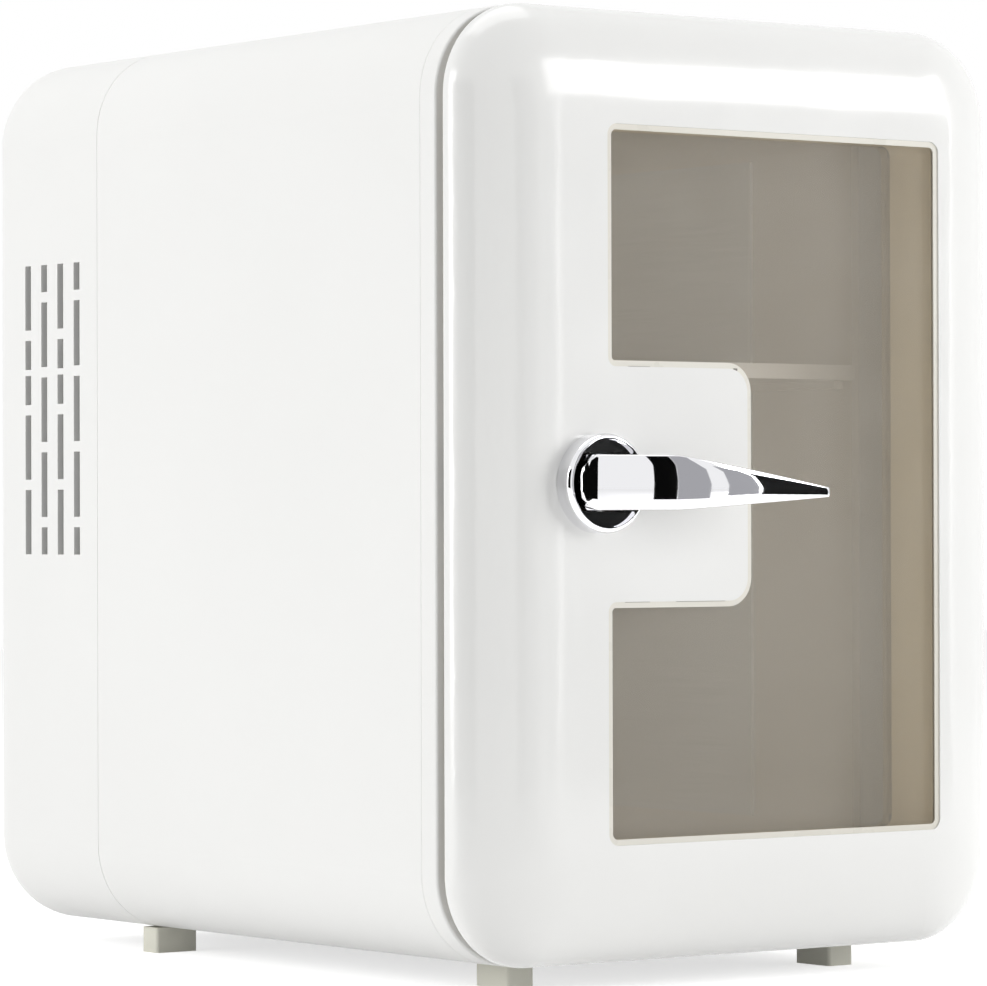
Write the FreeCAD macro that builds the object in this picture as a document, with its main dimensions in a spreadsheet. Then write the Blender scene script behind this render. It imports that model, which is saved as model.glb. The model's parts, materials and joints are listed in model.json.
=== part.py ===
"""A four-litre thermoelectric mini fridge, built as the pieces it is screwed together from.

X runs to the right as seen from the front, Y to the back and Z up. The door faces -Y. The origin is
under the middle of the whole object, on the surface that its feet stand on. Lengths are millimetres.
"""

import FreeCAD
import Part
import math
import os
import Sketcher
from FreeCAD import Placement, Rotation, Vector

doc = FreeCAD.newDocument("mini_fridge")
sheet = doc.addObject("Spreadsheet::Sheet", "sizes")
nodes = {}

# ---------------------------------------------------------------- driving sizes
DRIVING = {
    # the whole object, front to back
    "body_width": 177.5,
    "body_top": 250.0,
    "foot_height": 7.0,
    "corner_radius": 24.0,
    "door_depth": 13.9,
    "door_gap": 3.5,
    "bezel_depth": 6.4,
    "cabinet_depth": 152.5,
    "rear_depth": 61.2,
    "shell_wall": 2.2,
    "fit_gap": 0.1,
    "lip_wall": 1.2,
    "lip_length": 4.0,
    "edge_round": 0.8,
    # the door shell's pillowed edge and its window
    "door_wall": 2.5,
    "pillow_reach": 27.5,
    "pillow_depth": 13.0,
    "flat_corner": 6.0,
    "stile_left": 41.15,
    "stile_right": 25.05,
    "rail_top": 30.2,
    "rail_bottom": 30.6,
    "window_corner": 3.0,
    "pad_length": 45.4,
    "pad_above": 29.6,
    "pad_below": 29.9,
    "pad_corner": 6.0,
    "pad_inner_corner": 2.5,
    "pane_overlap": 1.2,
    "outer_pane_front": 0.8,
    "pane_thickness": 2.2,
    "inner_pane_front": 19.5,
    "inner_pane_thickness": 2.0,
    "window_frame_wall": 1.2,
    # the door's inner panel, its plug and its seal
    "panel_thickness": 1.8,
    "plug_depth": 9.1,
    "plug_wall": 1.6,
    "plug_corner": 10.0,
    "gasket_width": 4.0,
    "gasket_setback": 0.5,
    "panel_gap": 0.4,
    "gasket_clearance": 0.1,
    # the cavity and what lines it
    "side_thickness": 22.75,
    "floor_thickness": 21.5,
    "collar_step": 2.5,
    "mouth_gap": 2.0,
    "collar_end": 38.0,
    "liner_wall": 1.5,
    "liner_depth": 112.0,
    "liner_corner": 8.0,
    "foam_back": 16.5,
    "foam_front": 28.0,
    "cold_sheet": 1.0,
    "cold_front": 80.0,
    "cold_margin": 1.0,
    "shelf_top": 161.5,
    "shelf_depth": 105.0,
    "shelf_overhang": 5.0,
    "shelf_thickness": 4.0,
    "shelf_skin": 1.6,
    "shelf_side_gap": 0.5,
    "rib_height": 2.0,
    "rib_reach": 3.0,
    # the cooling set behind the cavity
    "cooler_height": 151.2,
    "block_side": 40.0,
    "block_gap": 1.0,
    "block_depth": 20.2,
    "peltier_depth": 3.8,
    "bulkhead": 1.5,
    "sink_width": 90.0,
    "sink_height": 80.0,
    "sink_base": 5.0,
    "fin_depth": 25.0,
    "fin_wall": 1.6,
    "fin_width": 74.0,
    "fan_side": 80.0,
    "fan_depth": 25.0,
    "fan_bore": 38.0,
    "fan_hole_half": 35.75,
    "fan_hole_radius": 2.2,
    "fan_hub": 16.0,
    "blade_radius": 36.5,
    "shaft_radius": 1.5,
    "running_gap": 0.05,
    # vents
    "vent_width": 3.1,
    "vent_length": 18.1,
    "vent_pitch_up": 21.0,
    "vent_pitch_back": 8.6,
    "vent_first": 186.9,
    "rear_corner": 15.0,
    "parting_round": 0.35,
    "rear_screw_inset": 22.0,
    # sockets, switch and board
    "socket_height": 52.0,
    "inlet_offset": 34.0,
    "dc_offset": 4.0,
    "switch_offset": 34.0,
    "board_height": 22.0,
    "board_thickness": 1.6,
    # hinges
    "hinge_inset": 0.3,
    "barrel_radius": 2.5,
    "hinge_pin_radius": 1.2,
    "hinge_height": 30.0,
    "hinge_margin": 53.0,
    "leaf_width": 10.5,
    "leaf_thickness": 1.2,
    "relief_gap": 0.35,
    "knuckle": 8.3,
    # handle and latch
    "handle_height": 128.9,
    "handle_inset": 37.35,
    "pivot_setback": 0.5,
    "rosette_radius": 12.6,
    "rosette_bore": 11.2,
    "rosette_proud": 5.3,
    "rosette_tube": 12.0,
    "rosette_tail": 4.9,
    "hub_radius": 10.9,
    "hub_back": 5.3,
    "ball_gap": 0.25,
    "front_trim": 1.2,
    "spring_wire": 0.3,
    "spring_room": 0.35,
    "band_height": 13.8,
    "band_rise": 7.1,
    "lever_reach": 21.0,
    "lever_length": 59.4,
    "lever_tip": 1.5,
    "lever_pin_radius": 1.5,
    "hook_height": 8.0,
    "hook_wall": 2.5,
    "hook_swing": 1.8,
    "hook_engagement": 2.2,
    "slot_inset": 7.75,
    "slot_width": 7.2,
    # feet
    "front_foot_inset": 30.75,
    "front_foot_width": 8.5,
    "front_foot_front": 29.0,
    "front_foot_depth": 14.0,
    "rear_foot_inset": 18.25,
    "rear_foot_width": 13.5,
    "rear_foot_front": 175.0,
    "rear_foot_depth": 7.5,
    # screws
    "screw_radius": 1.2,
    "screw_head_radius": 2.6,
    "screw_head_height": 1.5,
    "boss_radius": 3.2,
    "flush_head_radius": 2.1,
    "flush_head_height": 0.7,
}

for row, (alias, number) in enumerate(DRIVING.items(), start=1):
    sheet.set("A%d" % row, alias.replace("_", " "))
    sheet.set("B%d" % row, str(number))
    sheet.setAlias("B%d" % row, alias)
doc.recompute()


class Size:
    """A length that carries both its number and the sheet expression that gives it."""

    def __init__(self, value, text):
        self.value = float(value)
        self.text = text

    def _with(self, sign, other, value):
        return Size(value, "(%s %s %s)" % (self.text, sign, as_size(other).text))

    def __add__(self, other):
        return self._with("+", other, self.value + as_size(other).value)

    def __sub__(self, other):
        return self._with("-", other, self.value - as_size(other).value)

    def __mul__(self, other):
        return self._with("*", other, self.value * as_size(other).value)

    def __truediv__(self, other):
        return self._with("/", other, self.value / as_size(other).value)

    def __neg__(self):
        return Size(-self.value, "(0 - %s)" % self.text)


def as_size(number):
    """A plain number as a Size, and a Size as it is."""
    if isinstance(number, Size):
        return number
    return Size(number, "(%.6f)" % number)


def cell(alias):
    """The Size held by one cell of the sheet."""
    return Size(DRIVING[alias], "sizes." + alias)


# ---------------------------------------------------------------- helpers that make features
def bind(item, prop, size):
    """Ties one property of a feature to the sheet."""
    item.setExpression(prop, as_size(size).text)


def block(name, x, y, z):
    """A box between the low and high value given for each axis."""
    item = doc.addObject("Part::Box", name)
    for side, letter, (low, high) in zip(("Length", "Width", "Height"), "xyz", (x, y, z)):
        bind(item, side, as_size(high) - low)
        bind(item, "Placement.Base." + letter, low)
    return item


TURNS = {"x": Rotation(Vector(0, 1, 0), 90), "y": Rotation(Vector(1, 0, 0), -90), "z": Rotation()}


def rod(name, axis, centre, low, high, radius):
    """A round bar along one axis: centre gives the other two coordinates in X, Y, Z order."""
    item = doc.addObject("Part::Cylinder", name)
    item.Placement = Placement(Vector(), TURNS[axis])
    bind(item, "Radius", radius)
    bind(item, "Height", as_size(high) - low)
    others = [letter for letter in "xyz" if letter != axis]
    bind(item, "Placement.Base." + axis, low)
    for letter, place in zip(others, centre):
        bind(item, "Placement.Base." + letter, place)
    return item


def fuse(name, items):
    item = doc.addObject("Part::MultiFuse", name)
    item.Shapes = items
    return item


def group(name, items):
    """Separate solids kept in one piece's file, such as a set of like screws."""
    item = doc.addObject("Part::Compound", name)
    item.Links = items
    return item


def cut(name, base, tools):
    item = doc.addObject("Part::Cut", name)
    item.Base = base
    item.Tool = tools[0] if len(tools) == 1 else fuse(name + "_tools", tools)
    return item


def common(name, items):
    item = doc.addObject("Part::MultiCommon", name)
    item.Shapes = items
    return item


def node(name, item):
    """Names a finished piece; its label names its file."""
    item.Label = name
    nodes[name] = item
    return item


def new_body(name):
    body = doc.addObject("PartDesign::Body", name + "_body")
    node(name, body)
    return body


def helper_body(name):
    return doc.addObject("PartDesign::Body", name)


def origin_plane(body, role):
    for item in body.Origin.OriginFeatures:
        if item.Role == role:
            return item
    raise ValueError("no plane " + role)


def round_box(x, z, radius):
    """The four corners of a rounded rectangle between the low and high value on each axis."""
    (left, right), (low, high) = x, z
    return [(left, low, radius), (right, low, radius), (right, high, radius), (left, high, radius)]


def dimension(sketch, kind, where, size):
    """Adds one driving dimension to a sketch and ties it to the sheet."""
    index = sketch.addConstraint(Sketcher.Constraint(kind, *where, as_size(size).value))
    sketch.setExpression("Constraints[%d]" % index, as_size(size).text)


def draw_disc(sketch, centre, radius):
    centre = [as_size(place) for place in centre]
    circle = Part.Circle(Vector(centre[0].value, centre[1].value, 0), Vector(0, 0, 1), as_size(radius).value)
    index = sketch.addGeometry(circle, False)
    dimension(sketch, "DistanceX", (-1, 1, index, 3), centre[0])
    dimension(sketch, "DistanceY", (-1, 1, index, 3), centre[1])
    dimension(sketch, "Radius", (index,), radius)


def draw_outline(sketch, corners):
    """A closed outline of horizontal and vertical lines; each corner is (across, up, radius)."""
    spots = [tuple(as_size(part) for part in corner) for corner in corners]
    count = len(spots)
    ways = []
    for index, spot in enumerate(spots):
        after = spots[(index + 1) % count]
        step = Vector(after[0].value - spot[0].value, after[1].value - spot[1].value, 0)
        ways.append(step.normalize())
    lines = []
    for index, spot in enumerate(spots):
        after = spots[(index + 1) % count]
        start = Vector(spot[0].value, spot[1].value, 0) + ways[index] * spot[2].value
        end = Vector(after[0].value, after[1].value, 0) - ways[index] * after[2].value
        lines.append(sketch.addGeometry(Part.LineSegment(start, end), False))
    rules = []
    dimensions = []
    for index, spot in enumerate(spots):
        before = ways[index - 1]
        after = ways[index]
        if spot[2].value > 0:
            corner = Vector(spot[0].value, spot[1].value, 0)
            centre = corner + (after - before) * spot[2].value
            left_turn = before.x * after.y - before.y * after.x > 0
            first = -after if left_turn else before
            begin = math.atan2(first.y, first.x)
            circle = Part.Circle(centre, Vector(0, 0, 1), spot[2].value)
            arc = sketch.addGeometry(Part.ArcOfCircle(circle, begin, begin + math.pi / 2), False)
            arc_in, arc_out = (1, 2) if left_turn else (2, 1)
            rules.append(Sketcher.Constraint("Tangent", lines[index - 1], 2, arc, arc_in))
            rules.append(Sketcher.Constraint("Tangent", arc, arc_out, lines[index], 1))
            dimensions.append(("Radius", (arc,), spot[2]))
        else:
            rules.append(Sketcher.Constraint("Coincident", lines[index - 1], 2, lines[index], 1))
        if abs(after.y) < 0.5:
            rules.append(Sketcher.Constraint("Horizontal", lines[index]))
            dimensions.append(("DistanceY", (-1, 1, lines[index], 1), spot[1]))
        else:
            rules.append(Sketcher.Constraint("Vertical", lines[index]))
            dimensions.append(("DistanceX", (-1, 1, lines[index], 1), spot[0]))
    sketch.addConstraint(rules)
    for kind, where, size in dimensions:
        dimension(sketch, kind, where, size)


def draw_polygon(sketch, points):
    """A closed outline of straight lines, each point given by its two coordinates."""
    spots = [tuple(as_size(part) for part in point) for point in points]
    lines = []
    for index, spot in enumerate(spots):
        after = spots[(index + 1) % len(spots)]
        start = Vector(spot[0].value, spot[1].value, 0)
        end = Vector(after[0].value, after[1].value, 0)
        lines.append(sketch.addGeometry(Part.LineSegment(start, end), False))
    for index, spot in enumerate(spots):
        sketch.addConstraint(Sketcher.Constraint("Coincident", lines[index - 1], 2, lines[index], 1))
        dimension(sketch, "DistanceX", (-1, 1, lines[index], 1), spot[0])
        dimension(sketch, "DistanceY", (-1, 1, lines[index], 1), spot[1])


def new_sketch(body, name, role, offset):
    """A sketch square to one axis, at the given place on it."""
    sketch = body.newObject("Sketcher::SketchObject", name)
    sketch.AttachmentSupport = [(origin_plane(body, role), "")]
    sketch.MapMode = "FlatFace"
    bind(sketch, "AttachmentOffset.Base.z", -as_size(offset) if role == "XZ_Plane" else offset)
    return sketch


def extrude(body, kind, name, role, span, outlines=(), discs=(), polygons=()):
    """A Pad or Pocket that runs from the low to the high end of its span."""
    sketch = new_sketch(body, name + "_sketch", role, span[0])
    for corners in outlines:
        draw_outline(sketch, corners)
    for centre, radius in discs:
        draw_disc(sketch, centre, radius)
    for points in polygons:
        draw_polygon(sketch, points)
    item = body.newObject("PartDesign::" + kind, name)
    item.Profile = sketch
    bind(item, "Length", as_size(span[1]) - span[0])
    item.Reversed = (role == "XZ_Plane") == (kind == "Pad")
    return item


def loft(body, kind, name, sections):
    """A loft through rounded rectangles, each given with its place along Y."""
    sketches = []
    for index, (place, corners) in enumerate(sections):
        sketch = new_sketch(body, "%s_section_%d" % (name, index), "XZ_Plane", place)
        draw_outline(sketch, corners)
        sketches.append(sketch)
    item = body.newObject("PartDesign::" + kind, name)
    item.Profile = sketches[0]
    item.Sections = sketches[1:]
    return item


def fillet(body, name, radius, wanted):
    """Rounds the edges of the body so far that wanted() picks."""
    doc.recompute()
    base = body.Tip
    edges = ["Edge%d" % number for number, edge in enumerate(base.Shape.Edges, start=1) if wanted(edge)]
    item = body.newObject("PartDesign::Fillet", name)
    item.Base = (base, edges)
    bind(item, "Radius", radius)
    return item


def lies_at_y(place):
    """Picks edges that lie wholly in one plane square to Y."""
    def test(edge):
        box = edge.BoundBox
        return abs(box.YMin - place.value) < 0.01 and abs(box.YMax - place.value) < 0.01
    return test


# ---------------------------------------------------------------- places shared by several pieces
body_depth = (cell("door_depth") + cell("door_gap") + cell("bezel_depth") + cell("cabinet_depth")
              + cell("rear_depth"))
barrel_proud = cell("barrel_radius") - cell("hinge_inset")
middle = -barrel_proud / 2
front = -(body_depth - cell("lever_reach")) / 2
half_width = cell("body_width") / 2
left_side = middle - half_width
right_side = middle + half_width
base = cell("foot_height")
top = cell("body_top")

door_back = front + cell("door_depth")
bezel_front = door_back + cell("door_gap")
bezel_back = bezel_front + cell("bezel_depth")
cabinet_back = bezel_back + cell("cabinet_depth")
rear_face = cabinet_back + cell("rear_depth")

cavity_half = half_width - cell("side_thickness")
cavity_low = base + cell("floor_thickness")
cavity_high = top - cell("floor_thickness")
collar_half = cavity_half + cell("collar_step")
collar_low = cavity_low - cell("collar_step")
collar_high = cavity_high + cell("collar_step")
plug_half = collar_half - cell("mouth_gap")
plug_low = collar_low + cell("mouth_gap")
plug_high = collar_high - cell("mouth_gap")

liner_front = front + cell("collar_end")
liner_back = liner_front + cell("liner_depth")
foam_back = liner_back + cell("liner_wall") + cell("foam_back")
bulkhead_back = foam_back + cell("bulkhead")
cold_back = liner_back
block_front = cold_back
block_back = block_front + cell("block_depth")
peltier_back = block_back + cell("peltier_depth")
sink_back = peltier_back + cell("sink_base")
fin_back = sink_back + cell("fin_depth")
rear_inside = rear_face - cell("shell_wall")
fan_front = rear_inside - cell("fan_depth")
cooler_z = cell("cooler_height")

window_left = left_side + cell("stile_left")
window_right = right_side - cell("stile_right")
window_low = base + cell("rail_bottom")
window_high = top - cell("rail_top")
handle_z = cell("handle_height")
pad_right = window_left + cell("pad_length")
pad_low = handle_z - cell("pad_below")
pad_high = handle_z + cell("pad_above")
pivot_x = left_side + cell("handle_inset")
pivot_y = front - cell("pivot_setback")

hinge_x = right_side - cell("hinge_inset")
hinge_y = (door_back + bezel_front) / 2
hinge_levels = {"lower": base + cell("hinge_margin"), "upper": top - cell("hinge_margin")}
leaf_left = hinge_x - cell("leaf_width")
relief_radius = cell("barrel_radius") + cell("relief_gap")

slot_left = left_side + cell("slot_inset")
slot_right = slot_left + cell("slot_width")


def ring(inset):
    """The object's rounded outline seen from the front, moved inwards by the inset."""
    inset = as_size(inset)
    return round_box((left_side + inset, right_side - inset), (base + inset, top - inset),
                     cell("corner_radius") - inset)


def cavity(grow, radius):
    """The cavity's outline seen from the front, moved outwards."""
    grow = as_size(grow)
    return round_box((middle - cavity_half - grow, middle + cavity_half + grow),
                     (cavity_low - grow, cavity_high + grow), radius)


def window(grow):
    """The window's outline: a rectangle with the handle pad's notch in its left side."""
    grow = as_size(grow)
    corner = cell("window_corner") + grow
    pad_corner = cell("pad_corner") - grow
    inner = cell("pad_inner_corner") + grow
    left, right = window_left - grow, window_right + grow
    low, high = window_low - grow, window_high + grow
    return [(left, low, corner), (right, low, corner), (right, high, corner), (left, high, corner),
            (left, pad_high - grow, inner), (pad_right - grow, pad_high - grow, pad_corner),
            (pad_right - grow, pad_low + grow, pad_corner), (left, pad_low + grow, inner)]


def square(centre, half):
    """A square outline seen from the front, round the cooling set's axis."""
    half = as_size(half)
    return round_box((centre[0] - half, centre[0] + half), (centre[1] - half, centre[1] + half), 0)


cooler_axis = (middle, cooler_z)

# ---------------------------------------------------------------- cabinet
# The sleeve that forms the sides, top and bottom.
cabinet_shell = new_body("cabinet_shell")
extrude(cabinet_shell, "Pad", "shell_sleeve", "XZ_Plane", (bezel_back, cabinet_back),
        outlines=[ring(0), ring(cell("shell_wall"))])


def outer_edges(*levels):
    """Picks a piece's outermost edges at these depths, which leaves the inner ones sharp."""
    def test(edge):
        box = edge.BoundBox
        reach = max(box.XMax - middle.value, middle.value - box.XMin)
        outside = reach > half_width.value - 0.05 or box.ZMax > top.value - 0.05 or box.ZMin < base.value + 0.05
        return outside and any(lies_at_y(level)(edge) for level in levels)
    return test


fillet(cabinet_shell, "shell_parting_round", cell("parting_round"), outer_edges(bezel_back, cabinet_back))

# The bezel closes the sleeve's front and leads into the cavity through a collar.
mouth = cavity(cell("collar_step"), cell("plug_corner"))
mouth_outside = cavity(cell("collar_step") + cell("liner_wall"), cell("plug_corner") + cell("liner_wall"))
bezel_plate_back = bezel_front + cell("shell_wall")
lip_outer = cell("shell_wall") + cell("fit_gap")
lip_inner = lip_outer + cell("lip_wall")

front_bezel = new_body("front_bezel")
extrude(front_bezel, "Pad", "bezel_plate", "XZ_Plane", (bezel_front, bezel_plate_back), outlines=[ring(0), mouth])


def is_bezel_rim(edge):
    """The outer edge of the bezel's front face."""
    box = edge.BoundBox
    outside = (box.XMax > right_side.value - 24 or box.XMin < left_side.value + 24 or box.ZMax > top.value - 5
               or box.ZMin < base.value + 5)
    near_mouth = (abs(box.XMin - middle.value) <= collar_half.value + 1
                  and abs(box.XMax - middle.value) <= collar_half.value + 1
                  and box.ZMin >= collar_low.value - 1 and box.ZMax <= collar_high.value + 1)
    return lies_at_y(bezel_front)(edge) and outside and not near_mouth


fillet(front_bezel, "bezel_round", cell("edge_round"), is_bezel_rim)
extrude(front_bezel, "Pad", "bezel_rim", "XZ_Plane", (bezel_plate_back, bezel_back), outlines=[ring(0), ring(lip_inner)])
fillet(front_bezel, "bezel_parting_round", cell("parting_round"), outer_edges(bezel_back))
extrude(front_bezel, "Pad", "bezel_lip", "XZ_Plane", (bezel_back, bezel_back + cell("lip_length")),
        outlines=[ring(lip_outer), ring(lip_inner)])
extrude(front_bezel, "Pad", "bezel_collar", "XZ_Plane", (bezel_plate_back, liner_front), outlines=[mouth_outside, mouth])

# Screw places on each hinge leaf: the same for the cabinet's leaves and the door's.
leaf_screw_x = leaf_left + 3.8
leaf_screw_rise = cell("hinge_height") / 2 - 4.6
leaf_screws = []
for level in hinge_levels.values():
    leaf_screws += [(leaf_screw_x, level - leaf_screw_rise), (leaf_screw_x, level + leaf_screw_rise)]
bezel_boss_back = bezel_plate_back + 6.0
extrude(front_bezel, "Pad", "bezel_bosses", "XZ_Plane", (bezel_plate_back, bezel_boss_back),
        discs=[(place, cell("boss_radius")) for place in leaf_screws])
leaf_pockets = [round_box((leaf_left, right_side + 1), (level - cell("hinge_height") / 2,
                level + cell("hinge_height") / 2), 0) for level in hinge_levels.values()]
extrude(front_bezel, "Pocket", "bezel_leaf_seats", "XZ_Plane", (bezel_front, bezel_front + cell("leaf_thickness")),
        outlines=leaf_pockets)
for level_name, level in hinge_levels.items():
    extrude(front_bezel, "Pocket", "bezel_relief_" + level_name, "XY_Plane",
            (level - cell("hinge_height") / 2 - 0.3, level + cell("hinge_height") / 2 + 0.3),
            discs=[((hinge_x, hinge_y), relief_radius)])
extrude(front_bezel, "Pocket", "bezel_screw_holes", "XZ_Plane", (bezel_front, bezel_boss_back),
        discs=[(place, cell("screw_radius")) for place in leaf_screws])
slot_half = cell("hook_height") / 2 + 2
striker_depth = 1.0
striker_left = slot_left - 4.2
striker_half = slot_half + 5
extrude(front_bezel, "Pocket", "bezel_latch_slot", "XZ_Plane", (bezel_front, bezel_plate_back),
        outlines=[round_box((slot_left, slot_right), (handle_z - slot_half, handle_z + slot_half), 0)])
extrude(front_bezel, "Pocket", "bezel_striker_seat", "XZ_Plane", (bezel_front, bezel_front + striker_depth),
        outlines=[round_box((striker_left, slot_left), (handle_z - striker_half, handle_z + striker_half), 0)])
striker_screws = [(slot_left - 2.1, handle_z - slot_half - 2.2), (slot_left - 2.1, handle_z + slot_half + 2.2)]
extrude(front_bezel, "Pocket", "bezel_striker_holes", "XZ_Plane", (bezel_front, bezel_plate_back),
        discs=[(place, 0.8) for place in striker_screws])

# The steel strip that the latch's nose hooks behind, and its two pins.
striker = new_body("striker_plate")
extrude(striker, "Pad", "striker_strip", "XZ_Plane", (bezel_front, bezel_front + striker_depth),
        outlines=[round_box((striker_left, slot_left), (handle_z - striker_half, handle_z + striker_half), 0)],
        discs=[(place, 0.8) for place in striker_screws])
pins = [rod("striker_pin_%d" % index, "y", place, bezel_front, bezel_plate_back, 0.8)
        for index, place in enumerate(striker_screws)]
node("striker_rivets", group("striker_rivets", pins))

# The moulded tub that food stands in.
inner_liner = new_body("inner_liner")
extrude(inner_liner, "Pad", "liner_tub", "XZ_Plane", (liner_front, liner_back + cell("liner_wall")),
        outlines=[cavity(cell("liner_wall"), cell("liner_corner") + cell("liner_wall"))])
extrude(inner_liner, "Pad", "liner_flange", "XZ_Plane", (liner_front, liner_front + cell("liner_wall")),
        outlines=[mouth_outside])
extrude(inner_liner, "Pocket", "liner_inside", "XZ_Plane", (liner_front, liner_back),
        outlines=[cavity(0, cell("liner_corner"))])
block_hole = cell("block_side") / 2 + cell("block_gap")
extrude(inner_liner, "Pocket", "liner_window", "XZ_Plane", (liner_back, liner_back + cell("liner_wall")),
        outlines=[square(cooler_axis, block_hole)])
shelf_low = cell("shelf_top") - cell("shelf_thickness")
shelf_front = liner_front - cell("shelf_overhang")
shelf_span = (shelf_front, shelf_front + cell("shelf_depth"))
rib_span = (liner_front + 4, shelf_span[1])
for side_name, wall_x, reach in (("left", middle - cavity_half, 1), ("right", middle + cavity_half, -1)):
    tip = wall_x + cell("rib_reach") * reach
    across = (wall_x - 0.5, tip) if reach > 0 else (tip, wall_x + 0.5)
    extrude(inner_liner, "Pad", "liner_rib_" + side_name, "XZ_Plane", rib_span,
            outlines=[round_box(across, (shelf_low - cell("rib_height"), shelf_low), 0)])

# Foam fills the space between the tub and the sleeve.
foam = new_body("foam_insulation")
extrude(foam, "Pad", "foam_block", "XZ_Plane", (front + cell("foam_front"), foam_back),
        outlines=[ring(cell("shell_wall"))])
extrude(foam, "Pocket", "foam_collar_room", "XZ_Plane",
        (front + cell("foam_front"), liner_front + cell("liner_wall")), outlines=[mouth_outside])
extrude(foam, "Pocket", "foam_tub_room", "XZ_Plane", (liner_front + cell("liner_wall"), liner_back + cell("liner_wall")),
        outlines=[cavity(cell("liner_wall"), cell("liner_corner") + cell("liner_wall"))])
extrude(foam, "Pocket", "foam_block_room", "XZ_Plane", (liner_back + cell("liner_wall"), foam_back),
        outlines=[square(cooler_axis, block_hole)])

# The folded aluminium sheet that spreads the cold over the back and the rear of both sides.
cold_plate = new_body("cold_plate")
sheet_in = cell("cold_sheet")
cold_left, cold_right = middle - cavity_half, middle + cavity_half
cold_start = front + cell("cold_front")
cold_inset = cell("liner_corner") + cell("cold_margin")
cold_span = (cavity_low + cold_inset, cavity_high - cold_inset)
extrude(cold_plate, "Pad", "cold_fold", "XY_Plane", cold_span, outlines=[[
    (cold_left, cold_start, 0), (cold_left + sheet_in, cold_start, 0),
    (cold_left + sheet_in, cold_back - sheet_in, 0), (cold_right - sheet_in, cold_back - sheet_in, 0),
    (cold_right - sheet_in, cold_start, 0), (cold_right, cold_start, 0),
    (cold_right, cold_back, 0), (cold_left, cold_back, 0)]])
rib_room = 0.4
extrude(cold_plate, "Pocket", "cold_rib_slots", "YZ_Plane", (cold_left - 1, cold_right + 1),
        outlines=[round_box((cold_start - 1, rib_span[1] + rib_room),
                            (shelf_low - cell("rib_height") - rib_room, shelf_low), 0)])

# The removable shelf: a thin tray turned down at its rim.
shelf = new_body("shelf")
shelf_half = cavity_half - sheet_in - cell("shelf_side_gap")
shelf_x = (middle - shelf_half, middle + shelf_half)
extrude(shelf, "Pad", "shelf_tray", "XY_Plane", (shelf_low, cell("shelf_top")), outlines=[round_box(shelf_x, shelf_span, 3)])
rim = cell("rib_reach") + 0.5
extrude(shelf, "Pocket", "shelf_underside", "XY_Plane", (shelf_low, cell("shelf_top") - cell("shelf_skin")),
        outlines=[round_box((shelf_x[0] + rim, shelf_x[1] - rim), (shelf_front + 2, shelf_span[1] - 2), 2)])

# ---------------------------------------------------------------- cooling set
node("cold_block", block("cold_block", (middle - cell("block_side") / 2, middle + cell("block_side") / 2),
                         (block_front, block_back),
                         (cooler_z - cell("block_side") / 2, cooler_z + cell("block_side") / 2)))
node("peltier_module", block("peltier_module",
                             (middle - cell("block_side") / 2, middle + cell("block_side") / 2),
                             (block_back, peltier_back),
                             (cooler_z - cell("block_side") / 2, cooler_z + cell("block_side") / 2)))

sink_half = cell("sink_width") / 2
sink_rise = cell("sink_height") / 2
sink_screw_x = sink_half - 3.6
sink_screw_z = sink_rise - 12
rear_screw_inset = cell("rear_screw_inset")
rear_screw_places = [(middle + (half_width - rear_screw_inset) * side, level)
                     for side in (-1, 1) for level in (base + rear_screw_inset, top - rear_screw_inset)]
sink_screws = [(middle + sink_screw_x * side, cooler_z + sink_screw_z * level)
               for side in (-1, 1) for level in (-1, 1)]

bulkhead = new_body("bulkhead_plate")
extrude(bulkhead, "Pad", "bulkhead_sheet", "XZ_Plane", (foam_back, bulkhead_back),
        outlines=[ring(cell("shell_wall")), square(cooler_axis, block_hole)])
extrude(bulkhead, "Pad", "bulkhead_bosses", "XZ_Plane", (bulkhead_back, peltier_back),
        discs=[(place, cell("boss_radius")) for place in sink_screws])
extrude(bulkhead, "Pocket", "bulkhead_holes", "XZ_Plane", (foam_back, peltier_back),
        discs=[(place, cell("screw_radius")) for place in sink_screws + rear_screw_places])

heat_sink = new_body("heat_sink")
extrude(heat_sink, "Pad", "sink_plate", "XZ_Plane", (peltier_back, sink_back),
        outlines=[round_box((middle - sink_half, middle + sink_half), (cooler_z - sink_rise, cooler_z + sink_rise), 0)],
        discs=[(place, cell("screw_radius") + 0.2) for place in sink_screws])
fin_count = 12
fin_pitch = (cell("sink_height") - cell("fin_wall")) / (fin_count - 1)
fins = []
for number in range(fin_count):
    low = cooler_z - sink_rise + fin_pitch * number
    fins.append(round_box((middle - cell("fin_width") / 2, middle + cell("fin_width") / 2),
                          (low, low + cell("fin_wall")), 0))
extrude(heat_sink, "Pad", "sink_fins", "XZ_Plane", (sink_back, fin_back), outlines=fins)


def screw(name, place, tip, seat, head_side, radius=cell("screw_radius"), head=cell("screw_head_radius")):
    """A screw along Y: its shank runs from the tip to the seat, and its head stands beyond the seat."""
    shank = rod(name + "_shank", "y", place, *((tip, seat) if head_side > 0 else (seat, tip)), radius)
    crown = seat + cell("screw_head_height") * head_side
    cap = rod(name + "_head", "y", place, *((seat, crown) if head_side > 0 else (crown, seat)), head)
    return fuse(name, [shank, cap])


node("heat_sink_screws", group("heat_sink_screws", [
    screw("sink_screw_%d" % number, place, foam_back, sink_back, 1) for number, place in enumerate(sink_screws)]))

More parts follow.
